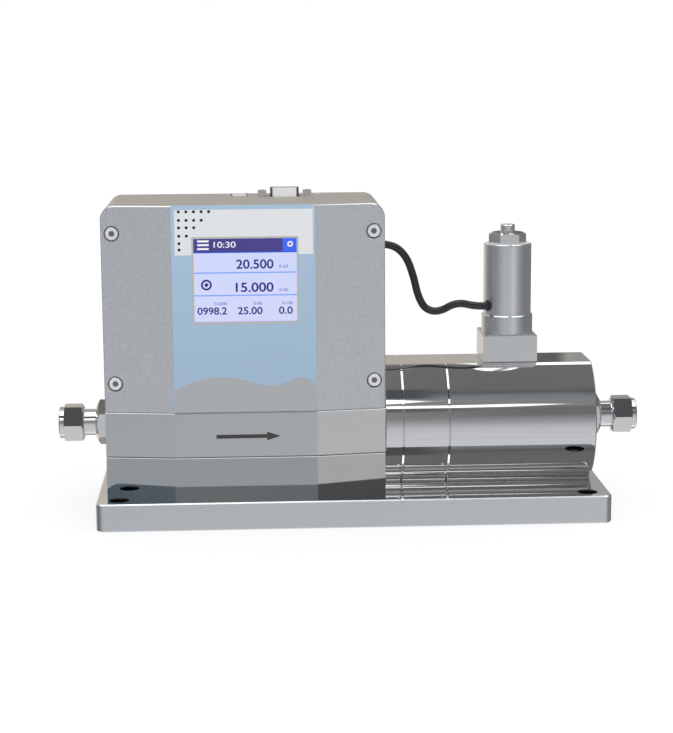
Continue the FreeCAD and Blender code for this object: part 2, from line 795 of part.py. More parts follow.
def make_screws():
    cover = []
    length = f"({SHELL_BACK} + cover_screw_grip + {SCREW_FACE} - cover_screw_head_height)"
    tip_forward = FreeCAD.Rotation(FreeCAD.Vector(1, 0, 0), 90)
    for index, (x, z) in enumerate(cover_screw_places(), start=1):
        screw = cap_screw(f"cover_screw_{index}", "cover_screw_shank", "cover_screw_head",
                          "cover_screw_head_height", length, "cover_screw_key")
        place(screw, f"{HOUSING_X} + {x}", f"cover_screw_head_height - {SCREW_FACE}",
              f"{SHELL_Z} + {z}", tip_forward)
        cover.append(screw)
    group("cover_screws", cover)
    feet = []
    length = "(flow_body_height - cover_screw_head_height - screw_clearance + foot_post_height / 2)"
    upside_down = FreeCAD.Rotation(FreeCAD.Vector(1, 0, 0), 180)
    for index, (x, y) in enumerate(foot_screw_places(), start=1):
        screw = cap_screw(f"foot_screw_{index}", "cover_screw_shank", "cover_screw_head",
                          "cover_screw_head_height", length, "cover_screw_key")
        place(screw, f"{HOUSING_X} + {x}", y,
              f"{FLOW_BODY_Z} + cover_screw_head_height + screw_clearance", upside_down)
        feet.append(screw)
    group("foot_screws", feet)
    clamps = []
    length = "(flow_body_height - clamp_screw_head_height - screw_clearance + clamp_screw_thread)"
    for index, (x, y) in enumerate(clamp_screw_places(), start=1):
        screw = cap_screw(f"clamp_screw_{index}", "clamp_screw_shank", "clamp_screw_head",
                          "clamp_screw_head_height", length, "clamp_screw_key")
        place(screw, f"{HOUSING_X} + {x}", y,
              f"{SHELL_Z} - clamp_screw_head_height - screw_clearance")
        clamps.append(screw)
    group("flow_body_screws", clamps)
    base = []
    length = "(plate_height - clamp_screw_head_height - screw_clearance + clamp_screw_thread)"
    for index, (x, y) in enumerate(base_screw_places(), start=1):
        screw = cap_screw(f"base_screw_{index}", "clamp_screw_shank", "clamp_screw_head",
                          "clamp_screw_head_height", length, "clamp_screw_key")
        place(screw, x, y, "clamp_screw_head_height + screw_clearance", upside_down)
        base.append(screw)
    group("base_screws", base)
    ties = []
    seat = f"({ROUND_END} - clamp_screw_head_height - screw_clearance)"
    length = f"({seat} - {HOUSING_RIGHT} + tie_thread)"
    tip_left = FreeCAD.Rotation(FreeCAD.Vector(0, 1, 0), 90)
    for index, (y, z) in enumerate(tie_places(), start=1):
        screw = cap_screw(f"tie_screw_{index}", "clamp_screw_shank", "clamp_screw_head",
                          "clamp_screw_head_height", length, "clamp_screw_key")
        place(screw, seat, y, f"{AXIS_Z} + {z}", tip_left)
        ties.append(screw)
    group("tie_screws", ties)


def make_display():
    label = new_body("front_label_body")
    drawn = sketch(label, "XZ_Plane", "housing_front")
    rectangle(drawn, "-label_width / 2", "label_margin", "label_width / 2",
              "shell_height - label_margin")
    wide = "(window_width / 2 - window_lap)"
    high = "(window_height / 2 - window_lap)"
    rectangle(drawn, f"window_shift - {wide}", f"{WINDOW_RISE} - {high}",
              f"window_shift + {wide}", f"{WINDOW_RISE} + {high}")
    pad(label, drawn, "label_wall")
    place(label, HOUSING_X, "0", SHELL_Z)
    keep(label, "front_label")

    window = new_body("display_window_body")
    drawn = sketch(window, "XZ_Plane", "housing_front - window_wall")
    wide = "(window_width / 2 - window_fit)"
    high = "(window_height / 2 - window_fit)"
    rectangle(drawn, f"-{wide}", f"-{high}", wide, high)
    pad(window, drawn, "window_wall")
    place(window, WINDOW_X, "0", WINDOW_Z)
    keep(window, "display_window")

    module = new_body("display_module_body")
    drawn = sketch(module, "XZ_Plane", "housing_front - shell_wall")
    rectangle(drawn, f"-{DISPLAY_WIDTH} / 2", f"-{DISPLAY_HEIGHT} / 2",
              f"{DISPLAY_WIDTH} / 2", f"{DISPLAY_HEIGHT} / 2")
    pad(module, drawn, "display_wall", True)
    drawn = sketch(module, "XZ_Plane", "housing_front - shell_wall")
    rectangle(drawn, f"-{wide}", f"-{high}", wide, high)
    pad(module, drawn, "shell_wall - window_wall")
    place(module, WINDOW_X, "0", WINDOW_Z)
    keep(module, "display_module")

    board = new_body("display_board_body")
    drawn = sketch(board, "XZ_Plane", "housing_front - shell_wall - display_wall")
    half_x = f"({DISPLAY_SPAN_X} / 2 + display_board_margin)"
    half_z = f"({DISPLAY_SPAN_Z} / 2 + display_board_margin)"
    rectangle(drawn, f"-{half_x}", f"-{half_z}", half_x, half_z)
    for x, z in square_places(DISPLAY_SPAN_X, DISPLAY_SPAN_Z):
        circle(drawn, "board_screw / 2 + screw_clearance / 2", x, z)
    pad(board, drawn, "board_wall", True)
    place(board, WINDOW_X, "0", WINDOW_Z)
    keep(board, "display_board")

    screws = []
    tip_forward = FreeCAD.Rotation(FreeCAD.Vector(1, 0, 0), -90)
    under_head = "(housing_front - shell_wall - display_wall - board_wall)"
    for index, (x, z) in enumerate(square_places(DISPLAY_SPAN_X, DISPLAY_SPAN_Z), start=1):
        screw = cap_screw(f"display_screw_{index}", "board_screw", "board_screw_head",
                          "board_screw_head_height", "(board_wall + display_wall - seam_edge)",
                          "board_screw_head / 2")
        place(screw, f"{WINDOW_X} + {x}", f"-{under_head}", f"{WINDOW_Z} + {z}", tip_forward)
        screws.append(screw)
    group("display_screws", screws)


def square_places(span_a, span_b):
    places = []
    for a in ("-", ""):
        for b in ("-", ""):
            places.append((f"{a}{span_a} / 2", f"{b}{span_b} / 2"))
    return places


def make_main_board():
    board = new_body("main_board_body")
    face = f"({SHELL_BACK} - main_board_gap)"
    drawn = sketch(board, "XZ_Plane", f"-{face}")
    rectangle(drawn, "-main_board_width / 2", f"{MAIN_BOARD_RISE} - main_board_height / 2",
              "main_board_width / 2", f"{MAIN_BOARD_RISE} + main_board_height / 2")
    for x, z in main_post_places():
        circle(drawn, "board_screw / 2 + screw_clearance / 2", x, z)
    pad(board, drawn, "board_wall")
    place(board, HOUSING_X, "0", SHELL_Z)
    keep(board, "main_board")

    screws = []
    tip_back = FreeCAD.Rotation(FreeCAD.Vector(1, 0, 0), 90)
    for index, (x, z) in enumerate(main_post_places(), start=1):
        screw = cap_screw(f"board_screw_{index}", "board_screw", "board_screw_head",
                          "board_screw_head_height", "board_screw_length", "board_screw_head / 2")
        place(screw, f"{HOUSING_X} + {x}", f"{face} - board_wall", f"{SHELL_Z} + {z}", tip_back)
        screws.append(screw)
    group("board_screws", screws)


def dsub_outline(drawn, trim="0"):
    """The connector's D shape: a wide side at the back and a narrower one at the front."""
    wide = f"(dsub_width / 2 - {trim})"
    narrow = f"(dsub_width / 2 - {trim} - dsub_depth * 0.17)"
    deep = f"(dsub_depth / 2 - {trim})"
    polygon(drawn, [(f"-{narrow}", f"-{deep}"), (narrow, f"-{deep}"), (wide, deep), (f"-{wide}", deep)])


def make_dsub():
    panel = f"({SHELL_TOP} - panel_skin)"
    shell = new_body("dsub_shell_body")
    drawn = sketch(shell, "XY_Plane", "-dsub_flange_wall")
    rectangle(drawn, "-dsub_flange_width / 2", "-dsub_flange_depth / 2",
              "dsub_flange_width / 2", "dsub_flange_depth / 2")
    for side in ("-", ""):
        circle(drawn, "jack_stud / 2 + panel_fit", f"{side}jack_span / 2", "0")
    pad(shell, drawn, "dsub_flange_wall")
    drawn = sketch(shell, "XY_Plane", "-dsub_flange_wall")
    dsub_outline(drawn)
    pad(shell, drawn, "dsub_flange_wall + panel_skin + dsub_rise")
    upright = edges(shell, lambda edge: edge.BoundBox.ZLength > number("dsub_rise")
                    and edge.BoundBox.XLength < 0.01)
    fillet(shell, upright, "dsub_corner")
    drawn = sketch(shell, "XY_Plane", "-dsub_flange_wall")
    dsub_outline(drawn, "dsub_shell_wall")
    pocket(shell, drawn, "dsub_flange_wall + panel_skin + dsub_rise", True)
    place(shell, f"{HOUSING_X} + dsub_shift", "dsub_back", panel)
    keep(shell, "dsub_shell")

    core = new_body("dsub_insulator_body")
    drawn = sketch(core, "XY_Plane", "-dsub_flange_wall")
    dsub_outline(drawn, "dsub_shell_wall")
    pad(core, drawn, "dsub_flange_wall + panel_skin + dsub_rise - dsub_shell_wall")
    drawn = sketch(core, "XY_Plane", "-dsub_flange_wall")
    rectangle(drawn, "-dsub_width / 2", "-dsub_depth / 2", "dsub_width / 2", "dsub_depth / 2")
    pad(core, drawn, "dsub_body_depth", True)
    drawn = sketch(core, "XY_Plane", "panel_skin + dsub_rise - dsub_shell_wall")
    for x, y in pin_places():
        circle(drawn, "pin_bore / 2", x, y)
    pocket(core, drawn, "pin_depth")
    place(core, f"{HOUSING_X} + dsub_shift", "dsub_back", panel)
    keep(core, "dsub_insulator")

    jacks = []
    for index, side in enumerate(("-", "+"), start=1):
        jack = new_body(f"jack_{index}")
        drawn = sketch(jack, "XY_Plane")
        hexagon(drawn, "jack_hex", CORNER_UP)
        pad(jack, drawn, "jack_height")
        drawn = sketch(jack, "XY_Plane")
        circle(drawn, "jack_stud / 2")
        pad(jack, drawn, "jack_stud_length", True)
        drawn = sketch(jack, "XY_Plane", "jack_height")
        circle(drawn, "jack_bore / 2")
        pocket(jack, drawn, "jack_height")
        place(jack, f"{HOUSING_X} + dsub_shift {side} jack_span / 2", "dsub_back", SHELL_TOP)
        jacks.append(jack)
    group("dsub_jack_screws", jacks)

    board = new_body("connector_board_body")
    low = "(usb_shift - usb_width / 2 - connector_board_margin)"
    high = "(dsub_shift + dsub_width / 2 + connector_board_margin)"
    drawn = sketch(board, "XY_Plane")
    rectangle(drawn, low, "usb_back - connector_board_depth / 2", high,
              "usb_back + connector_board_depth / 2")
    pad(board, drawn, "board_wall", True)
    place(board, HOUSING_X, "0", f"{panel} - dsub_flange_wall - dsub_body_depth")
    keep(board, "connector_board")


def pin_places():
    places = []
    for step in range(5):
        places.append((f"pin_pitch * {step - 2}" if step != 2 else "0", "pin_row_pitch / 2"))
    for step in range(4):
        places.append((f"pin_pitch * {step - 1.5}", "-pin_row_pitch / 2"))
    return places


def make_usb():
    board_top = f"({SHELL_TOP} - panel_skin - dsub_flange_wall - dsub_body_depth)"
    tall = f"({SHELL_TOP} + usb_rise - {board_top})"
    shell = new_body("usb_shell_body")
    drawn = sketch(shell, "XY_Plane")
    rectangle(drawn, "-usb_width / 2", "-usb_depth / 2", "usb_width / 2", "usb_depth / 2")
    pad(shell, drawn, tall)
    upright = edges(shell, lambda edge: edge.BoundBox.ZLength > 1.0)
    fillet(shell, upright, "usb_depth * 0.47")
    drawn = sketch(shell, "XY_Plane", tall)
    wide = "(usb_width / 2 - usb_wall - 0.45)"
    rectangle(drawn, f"-{wide}", "usb_wall - usb_depth / 2", wide, "usb_depth / 2 - usb_wall")
    pocket(shell, drawn, "usb_mouth")
    place(shell, f"{HOUSING_X} + usb_shift", "usb_back", board_top)
    keep(shell, "usb_receptacle")

    tongue = new_body("usb_tongue_body")
    drawn = sketch(tongue, "XY_Plane")
    rectangle(drawn, "-usb_width / 3", "-usb_depth / 9", "usb_width / 3", "usb_depth / 9")
    pad(tongue, drawn, "usb_mouth - usb_wall")
    place(tongue, f"{HOUSING_X} + usb_shift", "usb_back", f"{SHELL_TOP} + usb_rise - usb_mouth")
    keep(tongue, "usb_tongue")


def make_top_screw():
    body = new_body("top_screw_body")
    turned(body, [
        ("0", "-shell_wall"), ("top_screw_shank / 2", "-shell_wall"), ("top_screw_shank / 2", "0"),
        ("top_screw_head / 2", "0"), ("top_screw_head / 2", "top_screw_head_height / 2"),
        ("top_screw_head / 3", "top_screw_head_height"), ("0", "top_screw_head_height"),
    ], axis="V_Axis")
    drawn = sketch(body, "XY_Plane", "top_screw_head_height")
    hexagon(drawn, "top_screw_head / 3")
    pocket(body, drawn, "top_screw_head_height")
    place(body, f"{HOUSING_X} + top_screw_shift", "top_screw_back", SHELL_TOP)
    keep(body, "top_screw")


def make_sensor_tubes():
    """Two bent tubes stand in the flow body, one in front of the other."""
    for label, side in (("front_sensor_tube", "-"), ("rear_sensor_tube", "")):
        body = new_body(label + "_body")
        path = sketch(body, "XZ_Plane")
        half = number("tube_span / 2")
        bend = number("tube_bend")
        top = number(TUBE_RISE)
        low = number("-tube_socket")
        spots = [(-half, low), (-half, top - bend), (bend - half, top),
                 (half - bend, top), (half, top - bend), (half, low)]
        point = [FreeCAD.Vector(x, y, 0) for x, y in spots]
        left = FreeCAD.Vector(bend - half, top - bend, 0)
        right = FreeCAD.Vector(half - bend, top - bend, 0)
        up = FreeCAD.Vector(0, 0, 1)
        turn = math.pi / 2
        path.addGeometry(Part.LineSegment(point[0], point[1]), False)
        path.addGeometry(Part.ArcOfCircle(Part.Circle(left, up, bend), turn, 2 * turn), False)
        path.addGeometry(Part.LineSegment(point[2], point[3]), False)
        path.addGeometry(Part.ArcOfCircle(Part.Circle(right, up, bend), 0, turn), False)
        path.addGeometry(Part.LineSegment(point[4], point[5]), False)
        for rule in (
            ("Tangent", 0, 2, 1, 2), ("Tangent", 1, 1, 2, 1), ("Tangent", 2, 2, 3, 2),
            ("Tangent", 3, 1, 4, 1), ("Vertical", 0), ("Horizontal", 2), ("Vertical", 4),
        ):
            path.addConstraint(Sketcher.Constraint(*rule))
        for arc in (1, 3):
            index = path.addConstraint(Sketcher.Constraint("Radius", arc, bend))
            drive(path, f"Constraints[{index}]", "tube_bend")
        pin_point(path, 0, 1, "-tube_span / 2", "-tube_socket")
        pin_point(path, 4, 2, "tube_span / 2", "-tube_socket")
        index = path.addConstraint(Sketcher.Constraint("DistanceY", -1, 1, 2, 1, top))
        drive(path, f"Constraints[{index}]", TUBE_RISE)
        ring = sketch(body, "XY_Plane", "-tube_socket")
        circle(ring, "tube_outer / 2", "-tube_span / 2", "0")
        circle(ring, "tube_inner / 2", "-tube_span / 2", "0")
        pipe = body.newObject("PartDesign::AdditivePipe", "Pipe")
        pipe.Profile = ring
        pipe.Spine = (path, [])
        place(body, HOUSING_X, f"{side}tube_gap / 2", SHELL_Z)
        keep(body, label)


def brace(name):
    body = new_body(name)
    drawn = sketch(body, "XY_Plane")
    side = "(tube_outer / 2 + brace_margin)"
    rectangle(drawn, f"-{side}", f"-(tube_gap / 2 + {side})", side, f"tube_gap / 2 + {side}")
    for y in ("-tube_gap / 2", "tube_gap / 2"):
        circle(drawn, "tube_outer / 2", "0", y)
    pad(body, drawn, "brace_wall")
    return body


def tube_clamp(name, along, nose, nose_length):
    """A block clamped round a tube, with a round nose that points at the other tube."""
    body = new_body(name)
    drawn = sketch(body, "YZ_Plane" if along == "x" else "XY_Plane", "-clamp_length / 2")
    half = "(tube_outer / 2 + clamp_margin)"
    rectangle(drawn, f"-{half}", f"-{half}", half, half)
    circle(drawn, "tube_outer / 2")
    pad(body, drawn, "clamp_length")
    drawn = sketch(body, "XZ_Plane", f"-{half}")
    for radius in nose:
        circle(drawn, radius)
    pad(body, drawn, nose_length, True)
    return body


def make_sensor_parts():
    braces = []
    for index, x in enumerate(("-tube_span / 2", "tube_span / 2"), start=1):
        one = brace(f"brace_{index}")
        place(one, f"{HOUSING_X} + {x}", "0", f"{SHELL_Z} + brace_rise")
        braces.append(one)
    group("tube_braces", braces)

    facing_front = FreeCAD.Rotation(FreeCAD.Vector(0, 0, 1), 180)
    facing_back = FreeCAD.Rotation()
    magnet = ["magnet_bore / 2"]
    coil = ["coil_outer / 2", "coil_inner / 2"]
    driver = tube_clamp("drive_magnet_body", "x", magnet, "magnet_reach")
    place(driver, HOUSING_X, "-tube_gap / 2", f"{SHELL_Z} + {TUBE_RISE}", facing_back)
    keep(driver, "drive_magnet")
    driver = tube_clamp("drive_coil_body", "x", coil, "coil_reach / 2")
    place(driver, HOUSING_X, "tube_gap / 2", f"{SHELL_Z} + {TUBE_RISE}", facing_front)
    keep(driver, "drive_coil")
    magnets = []
    coils = []
    level = f"{SHELL_Z} + {LEG_RISE} - clamp_gap - clamp_length / 2"
    for index, x in enumerate(("-tube_span / 2", "tube_span / 2"), start=1):
        one = tube_clamp(f"pickoff_magnet_{index}", "z", magnet, "magnet_reach")
        place(one, f"{HOUSING_X} + {x}", "-tube_gap / 2", level, facing_back)
        magnets.append(one)
        one = tube_clamp(f"pickoff_coil_{index}", "z", coil, "coil_reach / 2")
        place(one, f"{HOUSING_X} + {x}", "tube_gap / 2", level, facing_front)
        coils.append(one)
    group("pickoff_magnets", magnets)
    group("pickoff_coils", coils)


def make_round_rings():
    """Three round rings with flats above and below, tied to the flow body by long screws."""
    for label, start, length in (
        ("adapter_ring", ADAPTER_X, "adapter_length"),
        ("coupling_ring", COUPLING_X, "coupling_length"),
        ("valve_body", VALVE_BODY_X, "valve_body_length"),
    ):
        body = new_body(label + "_body")
        drawn = sketch(body, "YZ_Plane")
        circle(drawn, "round_radius")
        pad(body, drawn, length)
        end = number(length)
        rims = edges(body, lambda edge: ends_at(edge, 0, 0.0) or ends_at(edge, 0, end))
        chamfer(body, rims, "ring_edge")
        for sign, reverse in (("", False), ("-", True)):
            flat = sketch(body, "XY_Plane", f"{sign}axis_rise")
            rectangle(flat, "-1", "-round_radius", f"{length} + 1", "round_radius")
            pocket(body, flat, "round_radius", not reverse)
        if label == "valve_body":
            cut_valve_passages(body)
        else:
            drawn = sketch(body, "YZ_Plane", length)
            circle(drawn, "flow_bore / 2")
            pocket(body, drawn, length)
        drawn = sketch(body, "YZ_Plane", "ring_seal_wall")
        circle(drawn, "ring_seal_outer / 2")
        pocket(body, drawn, "ring_seal_wall")
        drawn = sketch(body, "YZ_Plane", length)
        for y, z in tie_places():
            circle(drawn, "clamp_screw_shank / 2 + screw_clearance", y, z)
        pocket(body, drawn, length)
        place(body, start, "0", AXIS_Z)
        keep(body, label)


def cut_valve_passages(body):
    valve = "(valve_body_length - valve_inset)"
    reach = f"({valve} - riser_shift + riser_radius + bore_overrun)"
    drawn = sketch(body, "YZ_Plane", reach)
    circle(drawn, "flow_bore / 2")
    pocket(body, drawn, reach)
    drawn = sketch(body, "YZ_Plane", "valve_body_length")
    circle(drawn, "flow_bore / 2")
    pocket(body, drawn, "valve_inset + seat_mouth")
    for radius, depth in (("port_bore / 2", "port_depth"), ("port_seal_outer / 2", "port_seal_wall")):
        drawn = sketch(body, "YZ_Plane", "valve_body_length")
        circle(drawn, radius)
        pocket(body, drawn, depth)
    drawn = sketch(body, "YZ_Plane", "valve_body_length")
    for y, z in tie_places():
        circle(drawn, "clamp_screw_head / 2 + screw_clearance", y, z)
    pocket(body, drawn, "clamp_screw_head_height + screw_clearance")
    # From the top flat: the seal seat, the chamber, the seat socket and the two risers
    steps = (
        ("guide_flange", "guide_seal_wall", valve),
        ("chamber_radius", "chamber_depth", valve),
        ("seat_radius", "chamber_depth + seat_foot", valve),
        ("orifice_radius", "axis_rise", valve),
        ("riser_radius", "axis_rise", f"{valve} - riser_shift"),
    )
    for radius, depth, x in steps:
        drawn = sketch(body, "XY_Plane", "axis_rise")
        circle(drawn, radius, x, "0")
        pocket(body, drawn, depth)
    drawn = sketch(body, "XY_Plane", "-axis_rise")
    for side in ("-", "+"):
        circle(drawn, "clamp_screw_shank / 2", f"{valve} {side} valve_body_screw_span / 2", "0")
    pocket(body, drawn, "clamp_screw_thread", True)


def make_seals():
    rings = []
    for index, x in enumerate((ADAPTER_X, COUPLING_X, VALVE_BODY_X), start=1):
        body = new_body(f"ring_seal_{index}")
        turned_ring(body, "flow_bore / 2", "ring_seal_outer / 2", "0", "ring_seal_wall")
        place(body, x, "0", AXIS_Z)
        rings.append(body)
    group("ring_seals", rings)
    ring = upright_ring("guide_seal_body", "chamber_radius", "guide_flange", "-guide_seal_wall",
                        "guide_seal_wall")
    place(ring, VALVE_X, "0", FLAT_Z)
    keep(ring, "guide_seal")


def make_valve():
    block = new_body("valve_block_body")
    drawn = sketch(block, "XY_Plane")
    rectangle(drawn, "-block_side / 2", "-block_side / 2", "block_side / 2", "block_side / 2")
    pad(block, drawn, "block_height")
    levels = (0.0, number("block_height"))
    rims = edges(block, lambda edge: any(ends_at(edge, 2, level) for level in levels))
    chamfer(block, rims, "block_edge")
    drawn = sketch(block, "XY_Plane")
    circle(drawn, "guide_flange")
    pocket(block, drawn, "guide_flange_height", True)
    drawn = sketch(block, "XY_Plane", "block_height")
    circle(drawn, "guide_outer")
    pocket(block, drawn, "block_height")
    place(block, VALVE_X, "0", FLAT_Z)
    keep(block, "valve_block")

    collar = upright_ring("valve_collar_body", "guide_outer", "collar_radius", "0", "collar_height")
    top = number("collar_height")
    rims = edges(collar, lambda edge: ends_at(edge, 2, top) and edge.Length > 60.0)
    chamfer(collar, rims, "seam_edge")
    place(collar, VALVE_X, "0", COLLAR_Z)
    keep(collar, "valve_collar")

    can = new_body("coil_can_body")
    inside = "(can_radius - can_wall)"
    under_top = "(can_height - can_top)"
    turned(can, [
        (inside, "0"), ("can_radius", "0"), ("can_radius", "can_height"),
        ("stub_radius + coil_fit", "can_height"), ("stub_radius + coil_fit", under_top),
        (inside, under_top),
    ], axis="V_Axis")
    top = number("can_height")
    rims = edges(can, lambda edge: ends_at(edge, 2, top) and edge.Length > 60.0)
    fillet(can, rims, "can_edge")
    # The cable enters through the side, turned towards the front
    turn = math.radians(number("cable_entry_turn"))
    drawn = sketch(can, "YZ_Plane")
    drawn.AttachmentOffset = FreeCAD.Placement(
        FreeCAD.Vector(), FreeCAD.Rotation(FreeCAD.Vector(0, 1, 0), math.degrees(turn)))
    circle(drawn, "cable_entry_radius", "0", "cable_entry_rise")
    pocket(can, drawn, "2 * can_radius")
    place(can, VALVE_X, "0", CAN_Z)
    keep(can, "coil_can")

    bobbin = new_body("coil_bobbin_body")
    bore = "(guide_outer + coil_fit)"
    hub = f"({bore} + bobbin_wall)"
    turned(bobbin, [
        (bore, "0"), ("bobbin_flange_radius", "0"), ("bobbin_flange_radius", "bobbin_flange"),
        (hub, "bobbin_flange"), (hub, f"{under_top} - bobbin_flange"),
        ("bobbin_flange_radius", f"{under_top} - bobbin_flange"),
        ("bobbin_flange_radius", under_top), (bore, under_top),
    ], axis="V_Axis")
    place(bobbin, VALVE_X, "0", CAN_Z)
    keep(bobbin, "coil_bobbin")

    winding = upright_ring("coil_winding_body", hub, "winding_radius", "bobbin_flange",
                           f"{under_top} - 2 * bobbin_flange")
    place(winding, VALVE_X, "0", CAN_Z)
    keep(winding, "coil_winding")

    nut = new_body("coil_nut_body")
    drawn = sketch(nut, "XY_Plane")
    hexagon(drawn, "coil_nut_hex")
    pad(nut, drawn, "coil_nut_height")
    crown_nut(nut, "coil_nut_hex", "coil_nut_height")
    drawn = sketch(nut, "XY_Plane", "coil_nut_height")
    circle(drawn, "stub_radius")
    pocket(nut, drawn, "coil_nut_height")
    place(nut, VALVE_X, "0", COIL_NUT_Z)
    keep(nut, "coil_nut")

    guide = new_body("guide_tube_body")
    shoulder = CAN_INSIDE_TOP
    tip = "(block_height + collar_height + can_height + coil_nut_height + stub_height)"
    bore = "(plunger_radius + guide_clearance)"
    turned(guide, [
        (bore, "0"), ("guide_flange", "0"), ("guide_flange", "guide_flange_height"),
        ("guide_outer", "guide_flange_height"), ("guide_outer", shoulder),
        ("stub_radius", shoulder), ("stub_radius", f"{tip} - seam_edge"),
        ("stub_radius - seam_edge", tip), ("0", tip), ("0", GUIDE_BORE_TOP),
        (bore, GUIDE_BORE_TOP),
    ], axis="V_Axis")
    place(guide, VALVE_X, "0", FLAT_Z)
    keep(guide, "guide_tube")


def crown_nut(body, flats, height):
    """Cuts the upper corners of a hexagon back with a 30 degree cone."""
    fall = math.tan(math.radians(30.0))
    reach = 1.0 / math.sqrt(3.0)
    start = f"({flats} * 0.475)"
    outer = f"({flats} * {reach + 0.05:.6f})"
    drop = f"(({outer} - {start}) * {fall:.6f})"
    bored(body, [(start, height), (outer, height), (outer, f"{height} - {drop}")], axis="V_Axis")


def make_plunger():
    seat = new_body("valve_seat_body")
    foot = "(chamber_depth + seat_foot)"
    turned(seat, [
        ("orifice_radius", f"-{foot}"), ("seat_radius", f"-{foot}"), ("seat_radius", "-chamber_depth"),
        ("seat_mouth", SEAT_TOP), ("orifice_radius", SEAT_TOP),
    ], axis="V_Axis")
    place(seat, VALVE_X, "0", FLAT_Z)
    keep(seat, "valve_seat")

    plunger = new_body("valve_plunger_body")
    edge = "seam_edge"
    turned(plunger, [
        ("0", "plunger_seal_wall"), ("plunger_seal_radius", "plunger_seal_wall"),
        ("plunger_seal_radius", "0"), (f"plunger_radius - {edge}", "0"), ("plunger_radius", edge),
        ("plunger_radius", f"{PLUNGER_LENGTH} - {edge}"),
        (f"plunger_radius - {edge}", PLUNGER_LENGTH), ("0", PLUNGER_LENGTH),
    ], axis="V_Axis")
    place(plunger, VALVE_X, "0", f"{FLAT_Z} + {SEAT_TOP}")
    keep(plunger, "valve_plunger")

    seal = upright_ring("plunger_seal_body", "0", "plunger_seal_radius", "0", "plunger_seal_wall")
    place(seal, VALVE_X, "0", f"{FLAT_Z} + {SEAT_TOP}")
    keep(seal, "plunger_seal")

    coil_path = doc.addObject("Part::Helix", "spring_path")
    drive(coil_path, "Radius", "spring_radius")
    drive(coil_path, "Pitch", "(spring_length - 2 * spring_wire) / spring_turns")
    drive(coil_path, "Height", "spring_length - 2 * spring_wire")
    wire = doc.addObject("Part::Circle", "spring_section")
    drive(wire, "Radius", "spring_wire")
    wire.Placement = FreeCAD.Placement(
        FreeCAD.Vector(), FreeCAD.Rotation(FreeCAD.Vector(1, 0, 0), 90))
    drive(wire, "Placement.Base.x", "spring_radius")
    spring = doc.addObject("Part::Sweep", "plunger_spring")
    spring.Sections = [wire]
    spring.Spine = (coil_path, ["Edge1"])
    spring.Solid = True
    spring.Frenet = True
    place(spring, VALVE_X, "0", f"{FLAT_Z} + {SEAT_TOP} + {PLUNGER_LENGTH} + spring_wire")
    keep(spring, "plunger_spring")


